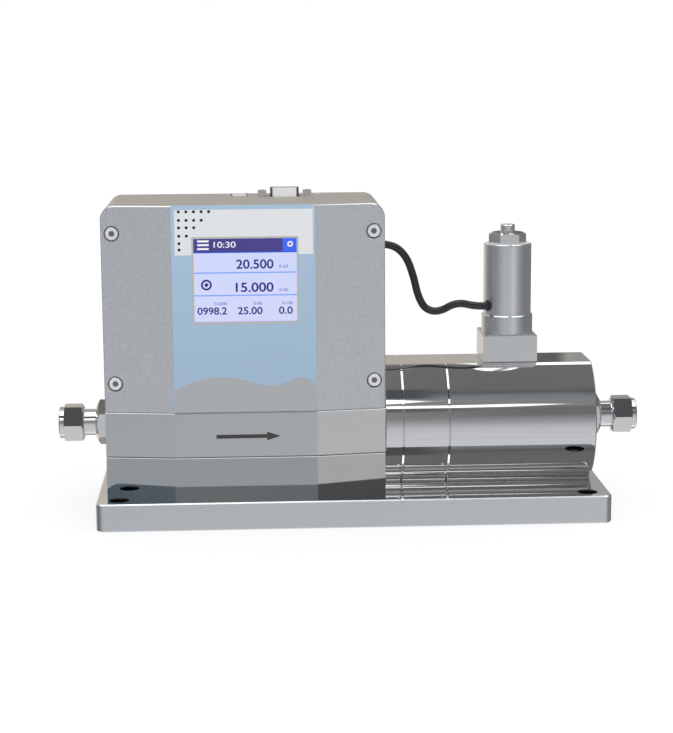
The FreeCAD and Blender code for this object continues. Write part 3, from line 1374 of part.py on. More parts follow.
def make_fittings():
    """The two tube fittings are alike: the inlet points left and the outlet points right."""
    turn_round = FreeCAD.Rotation(FreeCAD.Vector(0, 0, 1), 180)
    for side, x, spin in (
        ("inlet", f"{HOUSING_RIGHT} - housing_width", turn_round),
        ("outlet", ROUND_END, FreeCAD.Rotation()),
    ):
        body = new_body(f"{side}_fitting_body")
        drawn = sketch(body, "YZ_Plane")
        hexagon(drawn, "fitting_hex", CORNER_UP)
        pad(body, drawn, "fitting_hex_length")
        ease_corners(body, "fitting_hex", "fitting_hex_length", True, "fitting_hex_face")
        ease_corners(body, "fitting_hex", "0", False, "fitting_hex * 0.535")
        drawn = sketch(body, "YZ_Plane")
        circle(drawn, "port_bore / 2")
        pad(body, drawn, "port_depth", True)
        drawn = sketch(body, "YZ_Plane", "fitting_hex_length")
        circle(drawn, "neck_radius")
        pad(body, drawn, "neck_length")
        bored(body, [
            ("-port_depth", "0"), ("-port_depth", "flow_bore / 2"), ("tube_stop", "flow_bore / 2"),
            ("tube_stop", "tube_socket_radius"), (f"{NECK_END} - ferrule_seat", "tube_socket_radius"),
            (NECK_END, "tube_socket_radius + ferrule_seat_rise"), (NECK_END, "0"),
        ])
        place(body, x, "0", AXIS_Z, spin)
        keep(body, f"{side}_fitting")

        seal = new_body(f"{side}_seal_body")
        turned_ring(seal, "port_bore / 2", "port_seal_outer / 2", "-port_seal_wall", "port_seal_wall")
        place(seal, x, "0", AXIS_Z, spin)
        keep(seal, f"{side}_seal")

        outer = "(tube_socket_radius + ferrule_seat_rise)"
        lip = "(ferrule_seat_rise / ferrule_seat * ferrule_gap)"
        front = new_body(f"{side}_front_ferrule_body")
        turned(front, [
            (f"{NECK_END} - ferrule_seat + ferrule_gap", "tube_socket_radius"),
            (f"{NECK_END} + ferrule_front", "tube_socket_radius"),
            (f"{NECK_END} + ferrule_front", outer), (NECK_END, outer),
            (f"{NECK_END} - ferrule_seat + ferrule_gap", f"tube_socket_radius + {lip}"),
        ])
        place(front, x, "0", AXIS_Z, spin)
        keep(front, f"{side}_front_ferrule")

        back = new_body(f"{side}_back_ferrule_body")
        rest = f"({NECK_END} + ferrule_front)"
        toe = f"({rest} + ferrule_back + ferrule_taper - ferrule_gap)"
        turned(back, [
            (rest, "tube_socket_radius"), (toe, "tube_socket_radius"),
            (toe, f"tube_socket_radius + {lip}"), (f"{rest} + ferrule_back", outer), (rest, outer),
        ])
        place(back, x, "0", AXIS_Z, spin)
        keep(back, f"{side}_back_ferrule")

        nut = new_body(f"{side}_nut_body")
        drawn = sketch(nut, "YZ_Plane", NUT_START)
        hexagon(drawn, "nut_hex")
        pad(nut, drawn, "nut_hex_length")
        ease_corners(nut, "nut_hex", NUT_START, False, "nut_hex_face")
        ease_corners(nut, "nut_hex", f"({NUT_START} + nut_hex_length)", True, "nut_hex * 0.535")
        drawn = sketch(nut, "YZ_Plane", f"{NUT_START} + nut_hex_length")
        circle(drawn, "nose_radius")
        pad(nut, drawn, "nose_length")
        nose = number(FITTING_LENGTH)
        thread_end = f"({NECK_END} + seam_edge)"
        rims = edges(nut, lambda edge: ends_at(edge, 0, nose))
        chamfer(nut, rims, "seam_edge")
        bored(nut, [
            (NUT_START, "0"), (NUT_START, "neck_radius"), (thread_end, "neck_radius"),
            (thread_end, f"{outer} + coil_fit"), (f"{rest} + ferrule_back", f"{outer} + coil_fit"),
            (f"{rest} + ferrule_back + ferrule_taper", "tube_socket_radius"),
            (FITTING_LENGTH, "tube_socket_radius"), (FITTING_LENGTH, "0"),
        ])
        place(nut, x, "0", AXIS_Z, spin)
        keep(nut, f"{side}_nut")


def ease_corners(body, flats, level, outward, start):
    """Cuts the corners at one end of a hexagon along X back with a 30 degree cone from a radius."""
    fall = math.tan(math.radians(30.0))
    reach = 1.0 / math.sqrt(3.0)
    outer = f"({flats} * {reach + 0.05:.6f})"
    drop = f"(({outer} - ({start})) * {fall:.6f})"
    inner_end = f"{level} - {drop}" if outward else f"{level} + {drop}"
    bored(body, [(level, start), (level, outer), (inner_end, outer)])


def make_cable():
    grommet = new_body("cable_grommet_body")
    drawn = sketch(grommet, "YZ_Plane", "grommet_proud")
    circle(drawn, "grommet_radius")
    pad(grommet, drawn, "shell_wall + grommet_proud", True)
    drawn = sketch(grommet, "YZ_Plane", "-shell_wall")
    circle(drawn, "grommet_radius * 1.3")
    pad(grommet, drawn, "grommet_proud * 3", True)
    place(grommet, HOUSING_RIGHT, "cable_exit_back", f"{SHELL_Z} + {CABLE_EXIT_RISE}")
    keep(grommet, "cable_grommet")

    turn = number("cable_entry_turn")
    entry = new_body("coil_grommet_body")
    drawn = sketch(entry, "YZ_Plane", "-(can_radius + grommet_proud)")
    circle(drawn, "cable_entry_radius")
    pad(entry, drawn, "can_wall + grommet_proud - coil_fit")
    place(entry, VALVE_X, "0", f"{CAN_Z} + cable_entry_rise",
          FreeCAD.Rotation(FreeCAD.Vector(0, 0, 1), turn))
    keep(entry, "coil_grommet")

    start = FreeCAD.Vector(number(HOUSING_RIGHT) + number("grommet_proud"), number("cable_exit_back"),
                           number(f"{SHELL_Z} + {CABLE_EXIT_RISE}"))
    reach = number("can_radius + grommet_proud")
    sweep = math.radians(turn)
    outward = FreeCAD.Vector(-math.cos(sweep), -math.sin(sweep), 0)
    middle = FreeCAD.Vector(number(VALVE_X), 0, number(f"{CAN_Z} + cable_entry_rise"))
    end = middle + outward * reach
    out = start + FreeCAD.Vector(number("cable_lead_out"), 0, 0)
    lead = end + outward * number("cable_lead_in")
    route = [start, out] + [FreeCAD.Vector(*spot) for spot in CABLE_POINTS] + [lead, end]
    section = number("cable_diameter / 2")
    path = rounded_path(route)
    ring = Part.Wire(Part.Circle(start, FreeCAD.Vector(1, 0, 0), section).toShape())
    tube = path.makePipeShell([ring], True, True)
    cable = doc.addObject("Part::Feature", "valve_cable")
    cable.Shape = tube
    cable.Placement = FreeCAD.Placement()
    keep(cable, "valve_cable")
    print("cable length", round(path.Length, 2), "volume share",
          round(tube.Volume / (math.pi * section ** 2 * path.Length), 4))


# The cable's hand-picked points between the housing and the coil, in millimetres
CABLE_POINTS = [
    (31.6, -3.1, 139.0),
    (35.8, -3.5, 127.6),
    (38.0, -4.2, 117.0),
    (42.0, -5.0, 109.2),
    (49.6, -6.4, 107.6),
    (59.2, -8.8, 113.6),
]


def rounded_path(route):
    """Straight runs joined by tangent arcs, each as large as its two runs allow."""
    pieces = []
    begin = route[0]
    radii = []
    for before, corner, after in zip(route, route[1:], route[2:]):
        back = before - corner
        ahead = after - corner
        shorter = min(back.Length, ahead.Length)
        bend = math.pi - back.getAngle(ahead)
        cut = 0.45 * shorter
        radii.append(round(cut / math.tan(bend / 2), 1))
        enter = corner + back.normalize() * cut
        leave = corner + ahead.normalize() * cut
        middle_way = (back + ahead).normalize()
        radius = cut / math.tan(bend / 2)
        centre = corner + middle_way * math.hypot(cut, radius)
        middle = centre - middle_way * radius
        pieces.append(Part.LineSegment(begin, enter).toShape())
        pieces.append(Part.Arc(enter, middle, leave).toShape())
        begin = leave
    pieces.append(Part.LineSegment(begin, route[-1]).toShape())
    print("cable radii", radii)
    return Part.Wire(pieces)


def main():
    make_base_plate()
    make_base_block()
    make_flow_body()
    make_housing_shell()
    make_rear_cover()
    make_screws()
    make_display()
    make_main_board()
    make_dsub()
    make_usb()
    make_top_screw()
    make_sensor_tubes()
    make_sensor_parts()
    make_round_rings()
    make_seals()
    make_valve()
    make_plunger()
    make_fittings()
    make_cable()
    doc.recompute()
    check_and_export()


def check_and_export():
    for thing in doc.Objects:
        if "Invalid" in thing.State or "Error" in thing.State:
            raise RuntimeError(f"{thing.Name} failed: {thing.State}")
    for thing in parts:
        shape = thing.Shape
        if shape.isNull() or not shape.isValid():
            raise RuntimeError(f"{thing.Label} has no valid shape")
    os.makedirs("parts", exist_ok=True)
    for thing in parts:
        thing.Shape.exportStep(f"parts/{thing.Label}.step")
        print(thing.Label, len(thing.Shape.Solids), round(thing.Shape.Volume, 1))
    print("pieces", len(parts))


main()
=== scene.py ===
# %% [markdown]
# The object is a mass flow meter on a heavy base plate: a cast housing with a lit display, three
# polished round rings that the liquid runs through, and a control valve on top of the last one.
# Its pieces come from a packed model with every size settled. This lesson gives each piece its
# finish and adds what only shows: the cable's soft line, the printing and the lit screen.

# %% The packed model
import json
import math

import bpy
from mathutils import Matrix, Vector


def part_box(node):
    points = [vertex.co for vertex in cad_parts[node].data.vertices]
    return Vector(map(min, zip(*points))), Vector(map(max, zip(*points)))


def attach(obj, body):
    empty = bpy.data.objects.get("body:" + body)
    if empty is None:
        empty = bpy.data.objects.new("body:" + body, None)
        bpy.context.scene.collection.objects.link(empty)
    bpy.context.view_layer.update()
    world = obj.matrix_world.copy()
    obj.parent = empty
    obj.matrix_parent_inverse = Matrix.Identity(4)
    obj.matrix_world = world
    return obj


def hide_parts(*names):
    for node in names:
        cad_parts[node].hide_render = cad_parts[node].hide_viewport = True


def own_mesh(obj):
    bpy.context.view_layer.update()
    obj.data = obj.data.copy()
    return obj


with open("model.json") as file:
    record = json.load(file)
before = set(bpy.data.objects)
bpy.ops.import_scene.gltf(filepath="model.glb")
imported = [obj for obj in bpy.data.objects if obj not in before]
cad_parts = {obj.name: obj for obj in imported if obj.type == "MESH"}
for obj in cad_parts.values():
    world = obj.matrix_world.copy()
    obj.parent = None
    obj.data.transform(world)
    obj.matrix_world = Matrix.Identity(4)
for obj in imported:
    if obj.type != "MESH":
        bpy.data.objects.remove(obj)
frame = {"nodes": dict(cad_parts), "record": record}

scene = bpy.context.scene
nodes = frame["nodes"]
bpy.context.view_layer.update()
print("pieces in the packed model:", len(nodes))

# %% [markdown]
# The picture was taken from about a metre away, a little above the object and a little to its
# left. A pinhole camera that was fitted to the plate, the housing and the valve body gives the
# place and the three turns. The picture is 733 pixels high, and its long side sets the lens.

# %% The camera
IMAGE_HEIGHT = 733
FOCAL_PIXELS = 1905.86
SENSOR = 36.0
CAMERA_PLACE = Vector((-0.0569, -1.0444, 0.26305))
PITCH, YAW, ROLL = (math.radians(turn) for turn in (10.096, 2.740, -0.379))

ahead = Vector((math.sin(YAW) * math.cos(PITCH), math.cos(YAW) * math.cos(PITCH), -math.sin(PITCH)))
level = Vector((math.cos(YAW), -math.sin(YAW), 0.0))
above = level.cross(ahead)
right = level * math.cos(ROLL) + above * math.sin(ROLL)
up = above * math.cos(ROLL) - level * math.sin(ROLL)
lens = bpy.data.cameras.new("camera")
lens.sensor_width = SENSOR
lens.lens = FOCAL_PIXELS * SENSOR / IMAGE_HEIGHT
camera = bpy.data.objects.new("camera", lens)
scene.collection.objects.link(camera)
turned = Matrix((right, up, -ahead)).transposed().to_4x4()
camera.matrix_world = Matrix.Translation(CAMERA_PLACE) @ turned
scene.camera = camera
print("lens", round(lens.lens, 1), "mm")

# %% [markdown]
# A thin black cable carries the drive current from the housing to the valve's coil. It leaves the side of
# the housing, drops in a loose S and rises again into the coil can, which it enters square to its round
# wall. Its route is a short list of points.

# %% The cable's route
MM = 0.001
CABLE_DIAMETER = 4.2 * MM
COIL_X, CAN_RADIUS, ENTRY_TURN, ENTRY_LEAD, ENTRY_Z = 88.25, 13.6, math.radians(30.0), 7.0, 111.0
inward = Vector((math.cos(ENTRY_TURN), math.sin(ENTRY_TURN), 0.0))
entry = Vector((COIL_X, 0.0, ENTRY_Z)) - inward * CAN_RADIUS
CABLE_ROUTE = [
    (18.15, -3.0, 145.3),
    (24.15, -3.0, 145.3),
    (31.6, -3.1, 139.0),
    (35.8, -3.5, 127.6),
    (38.0, -4.2, 117.0),
    (42.0, -5.0, 109.2),
    (49.6, -6.4, 107.6),
    (59.2, -8.8, 113.6),
    tuple(entry - inward * ENTRY_LEAD),
    tuple(entry),
]
print("cable points", len(CABLE_ROUTE))

# %% [markdown]
# A NURBS spline whose control points are the route's own points gives one smooth line with no
# kink, and the curve's round bevel gives the jacket. It stays a curve, so that the frame knows
# it as a cord.

# %% The cable
def cable_curve(name, route, diameter):
    """One smooth NURBS line led by a list of millimetre points, round like a cable.

    The bevel is a metre deep and each point's radius scales it down, because the box that
    Blender keeps of a curve grows by the radius of its points."""
    curve = bpy.data.curves.new(name, "CURVE")
    curve.dimensions = "3D"
    curve.bevel_depth = 1.0
    curve.bevel_resolution = 6
    curve.resolution_u = 24
    curve.use_fill_caps = True
    line = curve.splines.new("NURBS")
    line.points.add(len(route) - 1)
    for point, place in zip(line.points, route):
        point.co = (*(size * MM for size in place), 1.0)
        point.radius = diameter / 2
    line.order_u = 3
    line.use_endpoint_u = True
    piece = bpy.data.objects.new(name, curve)
    scene.collection.objects.link(piece)
    return piece


cable = cable_curve("coil_cable", CABLE_ROUTE, CABLE_DIAMETER)
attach(cable, "meter")
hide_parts("valve_cable")
tuple(size * MM for size in CABLE_ROUTE[0])
print("cable", round(CABLE_DIAMETER / MM, 1), "mm thick")

# %% [markdown]
# Every finish here is a small recipe of shader nodes. Writing them one by one is long, so two
# classes do it: Value wraps one socket and lets Python's own signs add Math nodes, and Recipe
# holds the tree and makes every other node from its type, its settings and its inputs.

# %% Shader arithmetic
class Value:
    """One socket of a recipe. An arithmetic sign between two of them adds a Math node."""

    def __init__(self, recipe, socket):
        self.recipe = recipe
        self.socket = socket

    def out(self, name):
        """Another output of the same node."""
        return Value(self.recipe, self.socket.node.outputs[name])

    def __add__(self, other):
        return self.recipe.maths("ADD", self, other)

    def __radd__(self, other):
        return self.recipe.maths("ADD", other, self)

    def __sub__(self, other):
        return self.recipe.maths("SUBTRACT", self, other)

    def __rsub__(self, other):
        return self.recipe.maths("SUBTRACT", other, self)

    def __mul__(self, other):
        return self.recipe.maths("MULTIPLY", self, other)

    def __rmul__(self, other):
        return self.recipe.maths("MULTIPLY", other, self)

    def __truediv__(self, other):
        return self.recipe.maths("DIVIDE", self, other)

    def __rtruediv__(self, other):
        return self.recipe.maths("DIVIDE", other, self)

    def __pow__(self, other):
        return self.recipe.maths("POWER", self, other)

    def __abs__(self):
        return self.recipe.maths("ABSOLUTE", self)


class Recipe:
    """The node tree of one material or of the world."""

    def __init__(self, owner):
        owner.use_nodes = True
        self.tree = owner.node_tree
        self.tree.nodes.clear()

    def add(self, kind, settings=None, inputs=None, output=0):
        """Any node: its settings are set first, then the values or links of its sockets."""
        made = self.tree.nodes.new(kind)
        for name, value in (settings or {}).items():
            if name == "stops":
                self.set_stops(made.color_ramp, value)
            else:
                setattr(made, name, value)
        for key, value in (inputs or {}).items():
            if isinstance(value, Value):
                self.tree.links.new(value.socket, made.inputs[key])
            else:
                made.inputs[key].default_value = value
        return Value(self, made.outputs[output]) if made.outputs else made

    def set_stops(self, ramp, stops):
        """Gives a colour ramp its stops, each a place from 0 to 1 and a colour."""
        while len(ramp.elements) < len(stops):
            ramp.elements.new(1.0)
        for element, (place, colour) in zip(ramp.elements, stops):
            element.position = place
            element.color = colour

    def maths(self, operation, *values):
        """A Math node on sockets or plain numbers."""
        return self.add("ShaderNodeMath", {"operation": operation}, dict(enumerate(values)))

    def step(self, value, low, high):
        """0 below low, 1 above high and a soft step between them."""
        inputs = {"Value": value, "From Min": low, "From Max": high}
        return self.add("ShaderNodeMapRange", {"interpolation_type": "SMOOTHSTEP"}, inputs)

    def blend(self, share, first, second):
        """A colour between two, by a share from 0 to 1."""
        return self.add("ShaderNodeMix", {"data_type": "RGBA"}, {0: share, 6: first, 7: second}, output=2)

    def ramp(self, share, stops):
        """A colour along a list of stops, by a share from 0 to 1."""
        return self.add("ShaderNodeValToRGB", {"stops": stops}, {"Fac": share})

    def split(self, vector):
        """The three numbers of a vector."""
        first = self.add("ShaderNodeSeparateXYZ", None, {"Vector": vector})
        return first, first.out("Y"), first.out("Z")

    def place(self):
        """Where a point is, in the object's own coordinates."""
        return self.add("ShaderNodeTexCoord", output="Object")

    def stretched(self, *scale):
        """The place with each axis scaled by itself, for a pattern that is finer one way."""
        inputs = {"Vector": self.place(), "Scale": scale}
        return self.add("ShaderNodeMapping", {"vector_type": "POINT"}, inputs)

    def noise(self, where, scale, detail=2.0, roughness=0.5):
        """A cloudy number from 0 to 1, with the size of its spots set by the scale."""
        inputs = {"Vector": where, "Scale": scale, "Detail": detail, "Roughness": roughness}
        return self.add("ShaderNodeTexNoise", None, inputs)


print("reflected signs", [name for name in vars(Value) if name.startswith("__r")])

# %% [markdown]
# A colour is written in the way that suits it: as a web colour where it is the colour of a
# thing, as three shares of light where it belongs to the room, and as one share where it is grey.

# %% Colours
def web(code):
    """The linear colour of a six-digit web colour."""
    shares = [int(code[start:start + 2], 16) / 255 for start in (0, 2, 4)]
    return [c / 12.92 if c <= 0.04045 else ((c + 0.055) / 1.055) ** 2.4 for c in shares] + [1.0]


def light(red, green, blue):
    """A colour from three shares of light."""
    return [red, green, blue, 1.0]


def grey(amount):
    return light(amount, amount, amount)


print("a web colour", [round(c, 3) for c in web("A3BDD4")])

# %% [markdown]
# Polished metal shows its room, so the room matters more than the lamps. The world's shader
# works from the direction that a mirrored ray takes. Its tilt runs from 0 at the front horizon
# over 90 straight up to 180 behind, and below the horizon from 0 to -180. A ramp along the tilt
# gives the first tones: mid grey below the front horizon, nearly white straight down, dark from
# that horizon right over the top, and warm greys behind.

# %% The room's tones
scene.view_settings.view_transform = "Standard"
scene.cycles.max_bounces = 16
scene.cycles.glossy_bounces = 12
world = bpy.data.worlds.new("studio")
scene.world = world
sky = Recipe(world)
aside, back, height = sky.split(sky.add("ShaderNodeTexCoord", output="Generated"))
tilt = sky.maths("ARCTAN2", height, 0.0 - back) * (180.0 / math.pi)
WARM_BACK = light(0.86, 0.77, 0.69)
ROOM = [
    (-180, WARM_BACK), (-160, WARM_BACK), (-145, grey(0.36)), (-118, grey(0.36)), (-108, grey(0.95)),
    (-92, grey(0.9)), (-78, grey(0.66)), (-55, light(0.66, 0.67, 0.69)), (-25, light(0.62, 0.63, 0.65)),
    (-12, light(0.58, 0.59, 0.61)), (-3, light(0.42, 0.43, 0.45)), (3, light(0.30, 0.31, 0.32)),
    (8, light(0.25, 0.26, 0.27)), (30, grey(0.24)), (38, light(0.24, 0.26, 0.28)),
    (47, light(0.20, 0.22, 0.24)), (53, grey(0.12)), (58, grey(0.16)), (104, grey(0.17)),
    (110, grey(0.14)), (122, light(0.31, 0.30, 0.28)), (155, light(0.48, 0.455, 0.405)),
    (180, light(0.52, 0.485, 0.44)),
]
tones = [((angle + 180.0) / 360.0, tone) for angle, tone in ROOM]
room = sky.ramp((tilt + 180.0) / 360.0, tones)
print("tones of the room", len(tones))

# %% [markdown]
# A photographer hangs cards round a shiny thing, and so does this room. A card is a share that
# is 1 between two tilts and between two places from left to right, and a colour that covers the
# room there. The first ones hang in front: above the horizon it is bluish at the left and dark
# at the right, below it warmer at the right, and a dark card high up has a gap right of the
# middle.

# %% Cards in front
def between(value, low, high, soft):
    """1 between two limits, with a soft edge at both."""
    return sky.step(value, low - soft, low + soft) * (1.0 - sky.step(value, high - soft, high + soft))


def card(room, where, colour):
    """Hangs one more card in the room, where its share is 1."""
    return sky.blend(where, room, colour)


BLUISH = light(0.128, 0.180, 0.222)
ACROSS = [(0.0, BLUISH), (0.30, BLUISH), (0.46, grey(0.29)), (0.53, grey(0.255)), (0.572, grey(0.175)),
          (0.60, grey(0.165)), (0.68, grey(0.125)), (1.0, grey(0.125))]
room = card(room, between(tilt, 10.0, 26.0, 3.0), sky.ramp(aside * 0.5 + 0.5, ACROSS))
room = card(room, between(tilt, 19.5, 26.0, 1.5) * between(aside, 0.04, 0.11, 0.02), grey(0.13))
low_right = between(tilt, -60.0, 6.0, 8.0) * between(aside, 0.25, 0.50, 0.05)
room = card(room, low_right, light(0.77, 0.75, 0.72))
beside_the_gap = 1.0 - between(aside, 0.096, 0.183, 0.010)
room = card(room, between(tilt, 43.0, 60.0, 2.0) * beside_the_gap, light(0.085, 0.09, 0.095))
print("colours across the front", len(ACROSS))

# %% [markdown]
# The bright lines along the rings are strip lights. Two hang high in front: the upper one ends
# early, and the lower one runs on to a thin end. A third one behind the top widens to the right,
# and straight overhead a broad light has a gap too.

# %% Strip lights
STRIP, THIRD_STRIP = grey(1.7), grey(1.6)
UPPER_TILT, UPPER_HALF, UPPER_END = 38.0, 4.7, (0.068, 0.103)
LOWER_TILT, LOWER_HALF, LOWER_END = 28.0, 2.6, (0.135, 0.178)
LOWER_RISE, RISE_PLACE = 1.8, (0.10, 0.175)
THIRD_LOW, THIRD_HIGH, THIRD_GROWTH, GROWTH_PLACE = 118.0, 121.0, 7.0, (0.085, 0.145)


def strip(room, middle, half, soft):
    """A strip light round a tilt, whose half height may change from left to right."""
    return card(room, sky.step(half - abs(tilt - middle), 0.0, soft), STRIP)


room = strip(room, UPPER_TILT, UPPER_HALF * (1.0 - sky.step(aside, *UPPER_END)), 1.2)
lower_middle = LOWER_TILT + sky.step(aside, *RISE_PLACE) * LOWER_RISE
room = strip(room, lower_middle, LOWER_HALF * (1.0 - sky.step(aside, *LOWER_END)), 0.9)
third_low = THIRD_LOW - sky.step(aside, *GROWTH_PLACE) * THIRD_GROWTH
room = card(room, between(tilt, third_low, THIRD_HIGH, 0.8), THIRD_STRIP)
beside_the_wide_gap = 1.0 - between(aside, 0.061, 0.198, 0.004)
room = card(room, between(tilt, 62.0, 106.0, 3.0) * beside_the_wide_gap, grey(2.0))
print("nodes so far", len(sky.tree.nodes))

# %% [markdown]
# Both sides of the room are dark, which gives round and six-sided pieces their dark flanks.
# Behind, warm cards stand at the left and a dark one at the right. Two narrow ones low behind
# are what the flat tops at the right mirror, because they are seen at a low angle.

# %% Cards at the sides and behind
leftwards = 0.0 - aside
SIDES = [
    (leftwards, 0.40, 0.74, light(0.32, 0.33, 0.34)),
    (leftwards, 0.78, 0.97, light(0.10, 0.105, 0.11)),
    (aside, 0.50, 0.74, light(0.33, 0.335, 0.34)),
    (aside, 0.74, 0.97, light(0.19, 0.195, 0.20)),
]
for way, start, full, tone in SIDES:
    room = card(room, sky.step(way, start, full), tone)
behind = sky.step(back, 0.2, 0.35)
BEHIND = [
    (-0.90, -0.33, light(0.36, 0.35, 0.33)),
    (-0.66, -0.33, light(0.76, 0.71, 0.66)),
    (0.26, 0.97, light(0.21, 0.205, 0.20)),
]
for low, high, tone in BEHIND:
    room = card(room, behind * between(aside, low, high, 0.04), tone)
low_behind = sky.step(tilt, 150.0, 160.0)
room = card(room, low_behind * between(aside, 0.128, 0.166, 0.006), grey(0.13))
room = card(room, low_behind * between(aside, 0.168, 0.25, 0.004), grey(0.33))
print("cards at the sides and behind", len(SIDES) + len(BEHIND) + 2)

# %% [markdown]
# The camera itself sees white paper all round. So the world asks which kind of ray looks at it:
# a mirrored ray gets the room with fine streaks in its light, a camera ray gets the paper, and
# every other ray gets one soft even light.

# %% What each ray sees
PAPER_LIGHT = 1.0
SOFT_LIGHT = 0.96
STREAK_LIGHT = (0.77, 0.46)
streaks = sky.add("ShaderNodeTexNoise", {"noise_dimensions": "1D"},
                  {"W": tilt, "Scale": 0.55, "Detail": 3.0})


def background(colour, strength):
    """One answer of the world, as a colour and how strongly it shines."""
    return sky.add("ShaderNodeBackground", None, {"Color": colour, "Strength": strength})


mirror_room = background(room, STREAK_LIGHT[0] + streaks * STREAK_LIGHT[1])
soft_room = background(light(0.985, 0.99, 1.0), SOFT_LIGHT)
paper = background(grey(1.0), PAPER_LIGHT)
ray = sky.add("ShaderNodeLightPath", output="Is Glossy Ray")
lit = sky.add("ShaderNodeMixShader", None, {0: ray, 1: soft_room, 2: mirror_room})
seen = sky.add("ShaderNodeMixShader", None, {0: ray.out("Is Camera Ray"), 1: lit, 2: paper})
sky.add("ShaderNodeOutputWorld", None, {"Surface": seen})
print("world nodes", len(sky.tree.nodes))

# %% [markdown]
# The floor is paper too. It glows nearly to white and its matt part takes the object's soft
# shadow, and it is hidden from mirrored rays, which see the room in its place. One large lamp
# from the front right gives the shadow its side.

# %% The floor and the lamp
FLOOR_SIZE, FLOOR_GLOW, FLOOR_GREY = 40.0, 0.735, 0.30
LAMP_PLACE, LAMP_AIM = Vector((0.5, -1.3, 1.5)), Vector((0.0, 0.0, 0.08))
LAMP_SIZE, LAMP_POWER = (1.6, 1.0), 4.0
bpy.ops.object.select_all(action="DESELECT")
bpy.ops.mesh.primitive_plane_add(size=FLOOR_SIZE)
floor = bpy.context.object
floor.name = "floor"
floor.visible_glossy = False
white_paper = bpy.data.materials.new("white_paper")
page = Recipe(white_paper)
glow = page.add("ShaderNodeEmission", None, {"Color": grey(1.0), "Strength": FLOOR_GLOW})
matt = page.add("ShaderNodeBsdfDiffuse", None, {"Color": grey(FLOOR_GREY)})
sum_of_both = page.add("ShaderNodeAddShader", None, {0: glow, 1: matt})
page.add("ShaderNodeOutputMaterial", None, {"Surface": sum_of_both})
floor.data.materials.append(white_paper)

lamp = bpy.data.lights.new("soft_box", "AREA")
lamp.shape = "RECTANGLE"
lamp.size, lamp.size_y = LAMP_SIZE
lamp.energy = LAMP_POWER
soft_box = bpy.data.objects.new("soft_box", lamp)
scene.collection.objects.link(soft_box)
soft_box.location = LAMP_PLACE
soft_box.rotation_euler = (LAMP_AIM - LAMP_PLACE).to_track_quat("-Z", "Y").to_euler()
soft_box.visible_glossy = False
print("lamp", round((LAMP_AIM - LAMP_PLACE).length, 2), "m away")

# %% [markdown]
# A finish is a Principled shader whose inputs come from a function of its own name. The normal
# of a surface says where machined edges and flat tops are: the edges along the top of a piece
# were cut last, so they are brighter and smoother than the faces.

# %% Tools for finishes
def finish(name, surface):
    """A material from a function that fills a recipe and returns the Principled inputs."""
    material = bpy.data.materials.new(name)
    recipe = Recipe(material)
    shader = recipe.add("ShaderNodeBsdfPrincipled", None, surface(recipe))
    recipe.add("ShaderNodeOutputMaterial", None, {"Surface": shader})
    return material


def bump(recipe, height, depth, strength=1.0):
    """A normal that follows a height from 0 to 1, for a relief of a given depth in metres."""
    return recipe.add("ShaderNodeBump", None, {"Height": height, "Distance": depth, "Strength": strength})


def facing(recipe):
    """The way that a surface looks, as three numbers from -1 to 1."""
    return recipe.split(recipe.add("ShaderNodeNewGeometry", output="Normal"))


def flat_top(recipe, low=0.90):
    """1 where a surface looks straight up."""
    return recipe.step(facing(recipe)[2], low, 0.98)


def top_edge(recipe):
    """1 on the bright machined edges that run along the top of a piece."""
    rise = facing(recipe)[2]
    return recipe.step(rise, 0.35, 0.5) * (1.0 - recipe.step(rise, 0.86, 0.95))


print("tools", [tool.__name__ for tool in (finish, bump, facing, flat_top, top_edge)])

# %% [markdown]
# The housing is cast and bead blasted, so it is grey with a fine sparkle. The plate is ground: its top is
# lapped until it mirrors and its sides stay satin. Its four counterbores are painted nearly black, as
# painted shade in the holes.

# %% Cast housing and ground plate
def cast_grey(recipe):
    grain = recipe.noise(recipe.place(), 1500.0, 2.0, 0.55)
    colour = recipe.blend(recipe.step(grain, 0.3, 0.7), web("CACED3"), web("DEE1E5"))
    # Painted reflection: flat tops get a warmer grey that stands for the warm room that they mirror.
    colour = recipe.blend(flat_top(recipe), colour, web("CCC8C2"))
    edge = top_edge(recipe)
    return {"Base Color": colour, "Metallic": 0.85 + edge * 0.15,
            "Roughness": 0.46 + grain * 0.12 - edge * 0.36, "Normal": bump(recipe, grain, 0.00003, 0.4)}


HOLE_X, HOLE_Y = 126.0 * MM, 50.0 * MM
HOLE_EDGE = (6.0 * MM, 6.3 * MM)
HOLE_DEPTH = (14.0 * MM, 14.9 * MM)


def plate_metal(recipe):
    lapped = flat_top(recipe, 0.8)
    grain = recipe.noise(recipe.place(), 1900.0, 3.0, 0.6)
    colour = recipe.blend(lapped, recipe.blend(grain, web("DEE2E6"), web("E8EBEE")), web("F4F4F4"))
    x, y, z = recipe.split(recipe.place())
    reach = (abs(abs(x) - HOLE_X) ** 2 + abs(abs(y) - HOLE_Y) ** 2) ** 0.5
    # Painted shade: the counterbores are painted nearly black where shade would fall in them.
    painted_hole_shade = (1.0 - recipe.step(reach, *HOLE_EDGE)) * (1.0 - recipe.step(z, *HOLE_DEPTH))
    roughness = 0.34 + grain * 0.08 - lapped * 0.35 - top_edge(recipe) * 0.14
    return {"Base Color": recipe.blend(painted_hole_shade * 0.94, colour, web("1C1D1F")), "Metallic": 1.0,
            "Roughness": roughness, "Normal": bump(recipe, grain * (1.0 - lapped), 0.00002, 0.4)}


print("holes", round(2 * HOLE_X / MM), "x", round(2 * HOLE_Y / MM), "mm apart")

# %% [markdown]
# The foot block, the rings and the fittings are polished until they mirror. The block keeps a
# faint cloud, and the others keep the fine lines of the lathe, so their noise is much finer
# round the axis than along it.

# %% Polished steel
def block_steel(recipe):
    cloud = recipe.noise(recipe.place(), 60.0, 3.0)
    colour = recipe.blend(cloud, web("B3B8BB"), web("BBBFC2"))
    return {"Base Color": colour, "Metallic": 1.0, "Roughness": 0.045 + cloud * 0.03}


